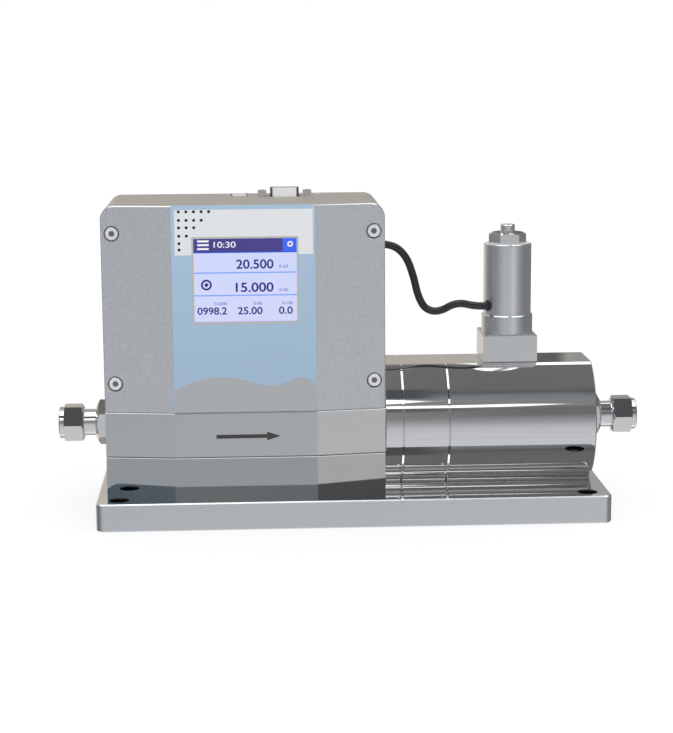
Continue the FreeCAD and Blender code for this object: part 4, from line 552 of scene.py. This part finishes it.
def polished_steel(recipe):
    lines = recipe.noise(recipe.stretched(1.0, 40.0, 40.0), 45.0, 3.0)
    colour = recipe.blend(lines, web("E5E5E5"), web("EEEEEE"))
    return {"Base Color": colour, "Metallic": 1.0, "Roughness": 0.018 + lines * 0.04}


print("polished finishes", [recipe.__name__ for recipe in (block_steel, polished_steel)])

# %% [markdown]
# The valve's block, collar, can and tube and the flow body are left satin. They share one surface with
# faint turned lines and bright top edges, and differ in their colour. The coil can's end face is painted
# nearly white and is much less of a mirror there, as a painted highlight.

# %% Satin steel
def satin(recipe, lines):
    """What the satin pieces share, from the noise of their turned lines."""
    return {"Metallic": 1.0, "Roughness": 0.30 + lines * 0.04 - top_edge(recipe) * 0.18,
            "Normal": bump(recipe, lines, 0.000001, 0.3)}


def turned_lines(recipe):
    return recipe.noise(recipe.stretched(1.0, 1.0, 12.0), 320.0, 3.0, 0.6)


def satin_steel(recipe):
    lines = turned_lines(recipe)
    return {**satin(recipe, lines), "Base Color": recipe.blend(lines, web("DFE2E4"), web("E6E8EA"))}


def milled_steel(recipe):
    colour = recipe.blend(recipe.noise(recipe.place(), 320.0), web("D2D5D7"), web("D9DBDD"))
    return {**satin(recipe, turned_lines(recipe)), "Base Color": colour}


def turned_can(recipe):
    # Painted highlight: the can's end face is painted nearly white and made mostly non-metal.
    painted_end_highlight = flat_top(recipe)
    colour = recipe.blend(recipe.noise(recipe.place(), 320.0), web("E6E9EC"), web("EDEFF2"))
    colour = recipe.blend(painted_end_highlight, colour, web("FAFBFC"))
    return {**satin(recipe, turned_lines(recipe)), "Base Color": colour, "Metallic": 1.0 - painted_end_highlight * 0.9}


print("satin finishes", [recipe.__name__ for recipe in (satin_steel, milled_steel, turned_can)])

# %% [markdown]
# Screws are bright and a little milky. Those in the front of the housing have small sockets with painted
# shade in them, and painted grey shade round the edge of each head. Both are found from a point's distance
# to the nearest of the four heads, whose places come from the box round all four screws.

# %% Screws
def screw_steel(recipe):
    cloud = recipe.noise(recipe.place(), 500.0, 2.0)
    colour = recipe.blend(cloud, web("EDEEF0"), web("F6F7F8"))
    return {"Base Color": colour, "Metallic": 0.6, "Roughness": 0.28 + cloud * 0.10}


screws_low, screws_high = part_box("cover_screws")
HEAD_RADIUS = 3.5 * MM
SOCKET_EDGE = (1.2 * MM, 1.9 * MM)
SOCKET_DEPTH = (0.2 * MM, 0.6 * MM)
RIM_SHADE_EDGE = (2.7 * MM, 3.4 * MM)
heads_middle = [(low + high) / 2 for low, high in zip(screws_low, screws_high)]
heads_half = [(high - low) / 2 - HEAD_RADIUS for low, high in zip(screws_low, screws_high)]


def socket_screws(recipe):
    x, y, z = recipe.split(recipe.place())
    across = abs(x - heads_middle[0]) - heads_half[0]
    along = abs(z - heads_middle[2]) - heads_half[2]
    reach = (across ** 2 + along ** 2) ** 0.5
    deep = recipe.step(y, *(screws_low.y + depth for depth in SOCKET_DEPTH))
    shade = deep * (1.0 - recipe.step(reach, *SOCKET_EDGE))
    colour = recipe.blend(recipe.noise(recipe.place(), 500.0), web("EBECEE"), web("F6F7F8"))
    # Painted shade: a grey ring round each head's edge, and a dark socket where shade falls in the recess.
    colour = recipe.blend(recipe.step(reach, *RIM_SHADE_EDGE) * 0.25, colour, web("8B8D90"))
    colour = recipe.blend(shade * 0.75, colour, web("2B2C2E"))
    return {"Base Color": colour, "Metallic": 0.55 - shade * 0.4, "Roughness": 0.32 + shade * 0.2}


print("screw heads", [round(2 * heads_half[axis] / MM, 1) for axis in (0, 2)], "mm apart")

# %% [markdown]
# The connectors on top have thin tinned shells. Their front is painted nearly white as a painted
# highlight, while their tops and ends are painted dark as a painted reflection of the dark room. The
# coil's winding is copper: its turns run round the can's axis, so its noise is finer along the height.

# %% Tin and copper
def bright_tin(recipe):
    cloud = recipe.noise(recipe.place(), 700.0, 2.0)
    x, y, z = facing(recipe)
    # Painted light: the front is painted nearly white as a highlight, and the tops and ends dark as a
    # reflection.
    dark = recipe.maths("MAXIMUM", recipe.step(abs(x), 0.5, 0.85), recipe.step(z, 0.4, 0.8))
    colour = recipe.blend(dark, recipe.blend(cloud, web("F8F9FA"), web("FFFFFF")), web("4A4E54"))
    return {"Base Color": colour, "Metallic": 0.05 + dark * 0.8, "Roughness": 0.26 + cloud * 0.08}


def copper(recipe):
    turns = recipe.noise(recipe.stretched(1.0, 1.0, 6.0), 900.0, 2.0)
    colour = recipe.blend(turns, web("A8622C"), web("D48A4A"))
    return {"Base Color": colour, "Metallic": 1.0, "Roughness": 0.3 + turns * 0.1}


def finishes(*recipes):
    """A material for each function, under the function's own name."""
    return {recipe.__name__: finish(recipe.__name__, recipe) for recipe in recipes}


METALS = finishes(cast_grey, plate_metal, block_steel, polished_steel, satin_steel, milled_steel,
                  turned_can, screw_steel, socket_screws, bright_tin, copper)
print("metal finishes", sorted(METALS))

# %% [markdown]
# Plastics, rubber, lacquer and the film on the front are not metal: their colour comes from
# inside and their shine from the surface. Each gets a quiet noise so that no face is one flat
# colour, and the film also gets a little paler towards its top.

# %% Plastic, rubber and film finishes
def black_plastic(recipe):
    grain = recipe.noise(recipe.place(), 1400.0, 2.0)
    return {"Base Color": recipe.blend(grain, web("2A2A2C"), web("39393B")),
            "Roughness": 0.42 + grain * 0.12, "Normal": bump(recipe, grain, 0.00001, 0.4)}


def board_green(recipe):
    cloud = recipe.noise(recipe.place(), 260.0, 3.0)
    colour = recipe.blend(cloud, web("14532F"), web("1F6B3E"))
    return {"Base Color": colour, "Roughness": 0.3 + cloud * 0.1, "Coat Weight": 0.4}


def seal_rubber(recipe):
    grain = recipe.noise(recipe.place(), 900.0, 2.0)
    colour = recipe.blend(grain, web("1B1B1B"), web("262626"))
    return {"Base Color": colour, "Roughness": 0.62 + grain * 0.1}


def cable_jacket(recipe):
    grain = recipe.noise(recipe.place(), 1700.0, 3.0)
    return {"Base Color": recipe.blend(grain, web("1F2022"), web("2C2D30")),
            "Roughness": 0.24 + grain * 0.08, "Normal": bump(recipe, grain, 0.00002, 0.3)}


FILM_FOOT, FILM_TOP = 60.0 * MM, 171.0 * MM


def label_film(recipe):
    grain = recipe.noise(recipe.place(), 1500.0, 2.0)
    height = recipe.split(recipe.place())[2]
    fade = recipe.step(height, FILM_FOOT, FILM_TOP) * 0.8 + grain * 0.2
    colour = recipe.blend(fade, web("98B1C9"), web("A2BBD2"))
    return {"Base Color": colour, "Roughness": 0.42 + grain * 0.06}


PLASTICS = finishes(black_plastic, board_green, seal_rubber, cable_jacket, label_film)
FINISHES = {**METALS, **PLASTICS}
cable.data.materials.append(FINISHES["cable_jacket"])
print("other finishes", sorted(PLASTICS))

# %% [markdown]
# The packed record says which material slot each piece belongs to. Most finishes have their
# slot's own name, so one loop dresses every piece of the packed model, also those inside the
# housing. A few pieces look different from others of their slot and get a finish of their own.

# %% Dressing the packed pieces
OWN_FINISH = {"dsub_shell": "bright_tin", "usb_receptacle": "bright_tin", "cover_screws": "socket_screws",
              "dsub_jack_screws": "polished_steel", "flow_body": "milled_steel", "coil_can": "turned_can"}


def dress(piece, material):
    """Gives a piece one finish in place of those that it had."""
    piece.data.materials.clear()
    piece.data.materials.append(material)


for row in frame["record"]["subparts"]:
    finish_name = OWN_FINISH.get(row["node"], row["material_slot"])
    if finish_name in FINISHES:
        dress(nodes[row["node"]], FINISHES[finish_name])

# %% [markdown]
# The valve's plunger lifts against a spring. A packed piece is rigid, so a copy of the spring's mesh
# stands for it here.

# %% The valve's spring
spring_low, spring_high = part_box("plunger_spring")
joints = {joint["name"]: joint for joint in frame["record"]["behaviour"]["joints"]}
lift = joints["plunger_lift"]["range_m"][1]
spring = bpy.data.objects.new("plunger_coil_spring", nodes["plunger_spring"].data.copy())
scene.collection.objects.link(spring)
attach(spring, "meter")
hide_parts("plunger_spring")
1.0 - lift / (spring_high.z - spring_low.z)
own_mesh(spring)
print("spring", round((spring_high.z - spring_low.z) / MM, 2), "mm, lift", lift / MM, "mm")

# %% [markdown]
# Printing and screen segments are thin flat shapes, so a few helpers do what they all need. A plane is
# added at its place and turned to the front, and an extrude gives it thickness. The last helper closes the
# work on any piece: its place is applied, so that the object sits at the origin, and then come the finish
# and the body that it rides on.

# %% Helpers for thin pieces
FACING = math.radians(90.0)


def pick(piece):
    """Selects one piece and nothing else."""
    bpy.ops.object.select_all(action="DESELECT")
    piece.select_set(True)
    bpy.context.view_layer.objects.active = piece


def edit_all(piece):
    """Opens one piece in edit mode with all of it selected."""
    pick(piece)
    bpy.ops.object.mode_set(mode="EDIT")
    bpy.ops.mesh.select_all(action="SELECT")


def front_plane(low, high, front_y):
    """A rectangle that looks to the front, from low (X, Z) to high (X, Z) in millimetres."""
    middle = ((low[0] + high[0]) / 2 * MM, front_y * MM, (low[1] + high[1]) / 2 * MM)
    bpy.ops.object.select_all(action="DESELECT")
    bpy.ops.mesh.primitive_plane_add(size=1.0, location=middle, rotation=(FACING, 0.0, 0.0))
    piece = bpy.context.object
    piece.scale = ((high[0] - low[0]) * MM, (high[1] - low[1]) * MM, 1.0)
    bpy.ops.object.transform_apply(location=False, rotation=True, scale=True)
    return piece


def hollow(piece, rim):
    """Leaves only the rim of a flat shape: it is inset and loses its middle."""
    edit_all(piece)
    bpy.ops.mesh.inset(thickness=rim * MM)
    bpy.ops.mesh.delete(type="FACE")
    bpy.ops.object.mode_set(mode="OBJECT")


def thicken(piece, depth, slope=0.0):
    """Gives a flat shape its thickness backwards, or backwards and down along a slope."""
    push = (0.0, depth * MM * math.cos(slope), -depth * MM * math.sin(slope))
    edit_all(piece)
    bpy.ops.mesh.extrude_region_move(TRANSFORM_OT_translate={"value": push})
    bpy.ops.mesh.select_all(action="SELECT")
    bpy.ops.mesh.normals_make_consistent(inside=False)
    bpy.ops.object.mode_set(mode="OBJECT")


def finished(piece, name, material):
    """Applies the place of a piece, then gives it its name, finish and body."""
    pick(piece)
    bpy.ops.object.transform_apply(location=True, rotation=True, scale=True)
    piece.name = name
    piece.data.name = name
    dress(piece, material)
    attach(piece, "meter")
    return piece


print("front plane turned by", round(math.degrees(FACING)), "degrees")

# %% [markdown]
# Most pieces are rectangles, so they have a helper of their own, which can also round their
# corners. Where a mark is made of several pieces, they are joined into one object.

# %% Thin plates
def thin_plate(name, low, high, front_y, depth, material, slot, corner=0.0):
    """A flat plate from low (X, Z) to high (X, Z) in millimetres, its face at front_y."""
    piece = front_plane(low, high, front_y)
    if corner:
        edit_all(piece)
        bpy.ops.mesh.bevel(offset=corner * MM, segments=4, affect="VERTICES")
        bpy.ops.object.mode_set(mode="OBJECT")
    thicken(piece, depth)
    return finished(piece, name, material)


def joined(pieces):
    """Several pieces as one object."""
    bpy.ops.object.select_all(action="DESELECT")
    for piece in pieces:
        piece.select_set(True)
    bpy.context.view_layer.objects.active = pieces[0]
    bpy.ops.object.join()
    return pieces[0]


print("helpers", thin_plate.__name__, joined.__name__)

# %% [markdown]
# The film on the front carries a white field at its top, a triangle of black dots and a grey
# wave at the bottom. Real film is screen printed, so each colour is its own very thin layer,
# and its ink is almost even.

# %% Printing inks
def printed(name, dark, pale):
    """An ink of two close colours that its grain mixes."""
    def ink(recipe):
        grain = recipe.noise(recipe.place(), 1300.0, 2.0)
        return {"Base Color": recipe.blend(grain, web(dark), web(pale)), "Roughness": 0.40 + grain * 0.08}
    return finish(name, ink)


white_ink = printed("white_ink", "D7D9DC", "DFE1E4")
grey_ink = printed("grey_ink", "9FA2A6", "A7A9AC")
black_ink = printed("black_ink", "0D0D0D", "171717")
arrow_ink = printed("arrow_ink", "343434", "3E3E3E")
print("inks", [ink.name for ink in (white_ink, grey_ink, black_ink, arrow_ink)])

# %% [markdown]
# The white field goes round the upper half of the window. It is three plates that meet without
# a lap, one above the window and one at each side, and they leave a narrow border for the
# window's gasket.

# %% The white field
LABEL_FACE = -41.4
INK = 0.04
BORDER = 0.5
FIELD_LOW, FIELD_HIGH = (-93.9, 145.0), (-20.9, 169.0)
window_low, window_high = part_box("display_window")
screen_left, screen_right = window_low.x / MM, window_high.x / MM
screen_bottom, screen_top = window_low.z / MM, window_high.z / MM
field_parts = [
    ("field", (FIELD_LOW[0], screen_top + BORDER), FIELD_HIGH),
    ("field_left", FIELD_LOW, (screen_left - BORDER, screen_top + BORDER)),
    ("field_right", (screen_right + BORDER, FIELD_LOW[1]), (FIELD_HIGH[0], screen_top + BORDER)),
]
fields = [
    thin_plate(name, low, high, LABEL_FACE - INK, INK, white_ink, "label_film")
    for name, low, high in field_parts
]
joined(fields).name = "white_field"
print("white field", round(FIELD_HIGH[0] - FIELD_LOW[0], 1), "mm wide")

# %% [markdown]
# The dots stand in rows that get shorter downwards. Each is a very flat cylinder, and all of
# them are joined into one piece.

# %% The dots
DOTS_LEFT, DOT_PITCH, DOT_RADIUS = -91.6, 3.98, 0.8
DOT_ROWS = [(168.0, 5), (163.5, 4), (159.6, 3), (155.2, 2), (151.2, 1), (147.9, 1)]
dots = []
for row_z, count in DOT_ROWS:
    for column in range(count):
        spot = ((DOTS_LEFT + column * DOT_PITCH) * MM, (LABEL_FACE - 1.5 * INK) * MM, row_z * MM)
        bpy.ops.object.select_all(action="DESELECT")
        bpy.ops.mesh.primitive_cylinder_add(vertices=24, radius=DOT_RADIUS * MM, depth=INK * MM,
                                            location=spot, rotation=(FACING, 0.0, 0.0))
        dots.append(bpy.context.object)
finished(joined(dots), "label_dots", black_ink)
print("dots", len(dots))

# %% [markdown]
# The film ends in a narrow fold that lies over the bright top edge of the housing, so that the
# edge shows only beside it. It is a plane that leans back by the slope of that edge.

# %% The fold of the film
FOLD_Y, FOLD_Z, FOLD_WIDTH, FOLD_DEPTH = -40.98, 170.86, 1.1, 0.2
SLOPE = math.radians(45.0)
film_low, film_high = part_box("front_label")
fold_middle = ((film_low.x + film_high.x) / 2, FOLD_Y * MM, FOLD_Z * MM)
bpy.ops.object.select_all(action="DESELECT")
bpy.ops.mesh.primitive_plane_add(size=1.0, location=fold_middle, rotation=(SLOPE, 0.0, 0.0))
fold = bpy.context.object
fold.scale = (film_high.x - film_low.x, FOLD_WIDTH * MM, 1.0)
bpy.ops.object.transform_apply(location=False, rotation=True, scale=True)
thicken(fold, FOLD_DEPTH, SLOPE)
finished(fold, "label_fold", FINISHES["label_film"])
print("fold", round((film_high.x - film_low.x) / MM, 1), "mm long")

# %% [markdown]
# The wave at the film's foot is one flat outline. A curve suits it, because its upper points
# can have soft handles and its corners sharp ones. Its fill is then made a mesh, turned to the
# front and given the thickness of ink.

# %% The grey wave
WAVE_FOOT = 60.7
WAVE = [(-95.4, 72.95), (-80.0, 78.3), (-67.5, 79.2), (-55.0, 76.6), (-43.3, 74.3), (-35.5, 76.2),
        (-28.2, 78.7), (-22.5, 76.9), (-19.9, 73.35)]


def flat_curve(name, smooth_top, foot):
    """A filled outline that lies flat: a smooth upper line over a straight foot."""
    curve = bpy.data.curves.new(name, "CURVE")
    curve.dimensions = "2D"
    curve.fill_mode = "FRONT"
    line = curve.splines.new("BEZIER")
    line.bezier_points.add(len(smooth_top) + 1)
    corners = smooth_top + [(smooth_top[-1][0], foot), (smooth_top[0][0], foot)]
    for place, (point, spot) in enumerate(zip(line.bezier_points, corners)):
        point.co = (spot[0] * MM, spot[1] * MM, 0.0)
        handle = "AUTO" if 0 < place < len(smooth_top) - 1 else "VECTOR"
        point.handle_left_type = point.handle_right_type = handle
    line.use_cyclic_u = True
    piece = bpy.data.objects.new(name, curve)
    scene.collection.objects.link(piece)
    return piece


wave = flat_curve("label_wave", WAVE, WAVE_FOOT)
pick(wave)
bpy.ops.object.convert(target="MESH")
wave.rotation_euler = (FACING, 0.0, 0.0)
wave.location = (0.0, (LABEL_FACE - INK) * MM, 0.0)
bpy.ops.object.transform_apply(location=True, rotation=True, scale=True)
thicken(wave, INK)
finished(wave, "label_wave", grey_ink)
print("wave faces", len(wave.data.polygons))

# %% [markdown]
# A plain arrow on the flow body shows the way of the flow. It is a bar and a triangle, and the
# triangle is a circle of three corners that is stretched to the length and width of the head.

# %% The flow arrow
ARROW_Z, ARROW_TAIL, ARROW_NECK, ARROW_TIP = 46.8, -73.7, -46.5, -39.1
ARROW_HALF_SHAFT, ARROW_HALF_HEAD = 1.05, 2.4
ARROW_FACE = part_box("flow_body")[0].y / MM - INK
shaft_low = (ARROW_TAIL, ARROW_Z - ARROW_HALF_SHAFT)
shaft_high = (ARROW_NECK, ARROW_Z + ARROW_HALF_SHAFT)
shaft = thin_plate("shaft", shaft_low, shaft_high, ARROW_FACE, INK, arrow_ink, "black_plastic")


def spread(piece):
    """The least place and the size of a piece's points along X and Z."""
    values = [[vertex.co[axis] for vertex in piece.data.vertices] for axis in (0, 2)]
    return [min(row) for row in values], [max(row) - min(row) for row in values]


bpy.ops.object.select_all(action="DESELECT")
bpy.ops.mesh.primitive_circle_add(vertices=3, radius=1.0, fill_type="NGON", rotation=(FACING, FACING, 0.0))
head = bpy.context.object
bpy.ops.object.transform_apply(location=False, rotation=True, scale=True)
start, size = spread(head)
head.scale = ((ARROW_TIP - ARROW_NECK) * MM / size[0], 1.0, 2 * ARROW_HALF_HEAD * MM / size[1])
bpy.ops.object.transform_apply(location=False, rotation=False, scale=True)
start, size = spread(head)
head.location = (ARROW_NECK * MM - start[0], ARROW_FACE * MM, ARROW_Z * MM)
thicken(head, INK)
finished(head, "head", arrow_ink)
joined([shaft, head]).name = "flow_arrow"
print("arrow length", round(ARROW_TIP - ARROW_TAIL, 1), "mm")

# %% [markdown]
# The screen is a small colour display behind a clear pane. What is lit is an emitting layer just
# in front of the display module, and each sign on it is a thin raised shape. Its own surface is
# nearly black, so that only the emission counts, and the page is more violet at its foot.

# %% Lit colours
def lit_colour(name, colour, foot_colour=None):
    """A glowing colour, which can turn into a second one towards the screen's foot."""
    def glowing(recipe):
        height = recipe.split(recipe.place())[2]
        share = recipe.step(height, screen_bottom * MM, screen_top * MM)
        shown = recipe.blend(share, web(foot_colour or colour), web(colour))
        return {"Base Color": web("08080A"), "Roughness": 0.4, "Specular IOR Level": 0.0,
                "Emission Color": shown, "Emission Strength": 1.0}
    return finish(name, glowing)


lit_page = lit_colour("lit_page", "CFD9FD", "D3D8FA")
lit_header = lit_colour("lit_header", "454089")
lit_blue = lit_colour("lit_blue", "4068F0")
lit_line = lit_colour("lit_line", "2F55D8")
lit_divider = lit_colour("lit_divider", "7FA8F8")
lit_white = lit_colour("lit_white", "F4F5FF")
lit_sign = lit_colour("lit_sign", "2E2B84")
lit_small = lit_colour("lit_small", "6662CA")
lit_edge = lit_colour("lit_edge", "B9B0F0")
print("lit from", round(screen_bottom, 1), "to", round(screen_top, 1), "mm")

# %% [markdown]
# The page is one plate at the back. On it lie a dark violet header with a menu mark and a blue
# square, two thin dividers and a violet line along the lower edge. Each layer is a twentieth of
# a millimetre in front of the one below, so that no two faces that show share a plane.

# %% The screen's fields
SCREEN_FACE = -39.05
LIFT = 0.05
PAGE_LOW, PAGE_HIGH = (-84.7, 108.5), (-29.0, 154.2)
HEADER_FOOT, HEADER_LINE, ICON_LEFT = 146.3, 0.55, -36.95
DIVIDERS_Z, DIVIDER_HALF = (135.2, 123.1), 0.35
LOWER_EDGE = 0.6
BARS_Z, BAR_HALF, BAR_LEFT, BAR_RIGHT = (152.1, 150.1, 148.0), 0.5, -82.1, -76.0


def lit_plate(name, left, right, low, high, layer, material):
    """A lit rectangle on one of the screen's layers, counted from the back."""
    face = SCREEN_FACE - LIFT * layer
    return thin_plate(name, (left, low), (right, high), face, LIFT, material, "screen")


(page_left, page_foot), (page_right, page_top) = PAGE_LOW, PAGE_HIGH
lit_plate("screen_page", page_left, page_right, page_foot, page_top, 0, lit_page)
lit_plate("screen_header", page_left, page_right, HEADER_FOOT, page_top, 1, lit_header)
lit_plate("screen_header_line", page_left, page_right, HEADER_FOOT - HEADER_LINE, HEADER_FOOT, 1, lit_line)
lit_plate("screen_icon_square", ICON_LEFT, page_right, HEADER_FOOT, page_top, 2, lit_blue)
dividers = [
    lit_plate("divider", page_left, page_right, z - DIVIDER_HALF, z + DIVIDER_HALF, 1, lit_divider)
    for z in DIVIDERS_Z
]
joined(dividers).name = "screen_dividers"
lit_plate("screen_lower_edge", page_left, page_right, page_foot, page_foot + LOWER_EDGE, 1, lit_edge)
bars = [lit_plate("bar", BAR_LEFT, BAR_RIGHT, z - BAR_HALF, z + BAR_HALF, 2, lit_white) for z in BARS_Z]
joined(bars).name = "screen_menu_bars"
print("page", round(page_right - page_left, 1), "x", round(page_top - page_foot, 1), "mm")

# %% [markdown]
# The readings are text objects that are made meshes and stretched to their places: two large
# values, a row of three smaller ones, a time of day in the header and small plain ranges. The
# offset of a text makes its strokes bolder.

# %% The readings
BOLDER, PLAIN = 0.018, 0.006
SAME_POINT = 1e-7


def reading(name, text, left, right, low, high, material, layer=1, bolder=PLAIN):
    """Plain numbers from left to right and low to high, in millimetres."""
    bpy.ops.object.select_all(action="DESELECT")
    bpy.ops.object.text_add(rotation=(FACING, 0.0, 0.0))
    piece = bpy.context.object
    piece.data.body = text
    piece.data.offset = bolder
    bpy.ops.object.convert(target="MESH")
    bpy.ops.object.transform_apply(location=True, rotation=True, scale=True)
    start, size = spread(piece)
    wide, tall = (right - left) * MM / size[0], (high - low) * MM / size[1]
    face = (SCREEN_FACE - LIFT * layer) * MM
    piece.scale = (wide, 1.0, tall)
    piece.location = (left * MM - start[0] * wide, face, low * MM - start[1] * tall)
    bpy.ops.object.transform_apply(location=True, rotation=False, scale=True)
    edit_all(piece)
    bpy.ops.mesh.remove_doubles(threshold=SAME_POINT)
    bpy.ops.object.mode_set(mode="OBJECT")
    thicken(piece, LIFT)
    return finished(piece, name, material)


READINGS = [
    ("reading_flow", "20.500", -61.7, -41.9, 137.2, 142.2),
    ("reading_setting", "15.000", -62.1, -42.0, 124.8, 129.9),
    ("reading_density", "0998.2", -82.6, -66.9, 112.8, 116.8),
    ("reading_warmth", "25.00", -61.2, -48.0, 112.8, 116.8),
    ("reading_output", "0.0", -39.3, -31.9, 112.8, 116.8),
]
RANGES = [
    ("range_flow", "0-60", -38.9, -34.2, 137.6, 139.3),
    ("range_setting", "0-60", -38.9, -34.2, 125.0, 126.7),
    ("range_density", "0-2000", -73.5, -66.8, 117.9, 119.5),
    ("range_warmth", "0-80", -52.7, -48.2, 117.9, 119.5),
    ("range_output", "0-100", -37.4, -31.9, 117.9, 119.5),
]
for row in READINGS:
    reading(*row, lit_sign, bolder=BOLDER)
reading("screen_clock", "10:30", -73.4, -61.8, 148.6, 151.8, lit_white, layer=2)
for row in RANGES:
    reading(*row, lit_small)
print("readings", [row[1] for row in READINGS])

# %% [markdown]
# Two small signs finish the screen. They are plain shapes that any such screen could have: a
# white ring on the blue square, and a wheel with a hub that stands for the setting.

# %% The two signs
SQUARE_MIDDLE = ((ICON_LEFT + page_right) / 2, (HEADER_FOOT + page_top) / 2)
SQUARE_RING, SQUARE_HOLE = 1.5, 0.75
WHEEL, WHEEL_RIM, WHEEL_HOLE, WHEEL_HUB = (-77.6, 128.8), 2.9, 1.9, 1.0


def disc(name, centre, radius, hole, layer, material):
    """A flat ring or disc in front of the screen, by its centre and radii in millimetres."""
    spot = (centre[0] * MM, (SCREEN_FACE - LIFT * layer) * MM, centre[1] * MM)
    bpy.ops.object.select_all(action="DESELECT")
    bpy.ops.mesh.primitive_circle_add(vertices=32, radius=radius * MM, fill_type="NGON",
                                      location=spot, rotation=(FACING, 0.0, 0.0))
    piece = bpy.context.object
    if hole:
        hollow(piece, radius - hole)
    thicken(piece, LIFT)
    return finished(piece, name, material)


disc("screen_square_sign", SQUARE_MIDDLE, SQUARE_RING, SQUARE_HOLE, 3, lit_white)
rim = disc("rim", WHEEL, WHEEL_RIM, WHEEL_HOLE, 1, lit_sign)
hub = disc("hub", WHEEL, WHEEL_HUB, 0.0, 1, lit_sign)
joined([rim, hub]).name = "screen_setting_sign"
print("ring in the square's middle", [round(size, 2) for size in SQUARE_MIDDLE])

# %% [markdown]
# A thin beige gasket fills the seam round the window. It is a rectangle that keeps only its rim,
# which is as wide as the seam and a small lap over the pane.

# %% The gasket
LAP = 0.2


def gasket_foam(recipe):
    grain = recipe.noise(recipe.place(), 1800.0, 2.0)
    colour = recipe.blend(grain, web("B3A998"), web("C0B7A8"))
    return {"Base Color": colour, "Roughness": 0.55 + grain * 0.1}


gasket_low = (screen_left - BORDER, screen_bottom - BORDER)
gasket_high = (screen_right + BORDER, screen_top + BORDER)
gasket = front_plane(gasket_low, gasket_high, LABEL_FACE - INK)
hollow(gasket, BORDER + LAP)
thicken(gasket, INK)
finished(gasket, "display_gasket", finish("gasket_foam", gasket_foam))
print("gasket rim", BORDER + LAP, "mm")

# %% [markdown]
# A clear pane closes the window. It is a thin plate of glass with rounded corners. Its index is
# lower than that of real glass, so that it bends and mirrors less of what is round it.

# %% The pane
PANE, PANE_CORNER = 1.6, 0.3


def clear_glass(recipe):
    cloud = recipe.noise(recipe.place(), 40.0, 2.0)
    return {"Base Color": grey(1.0), "Roughness": cloud * 0.01, "Transmission Weight": 1.0, "IOR": 1.22}


glass = finish("clear_glass", clear_glass)
pane = thin_plate("display_pane", (screen_left, screen_bottom), (screen_right, screen_top),
                  window_low.y / MM, PANE, glass, "screen", corner=PANE_CORNER)
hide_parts("display_window")
print("pane", round(screen_right - screen_left, 1), "mm wide")

# %% [markdown]
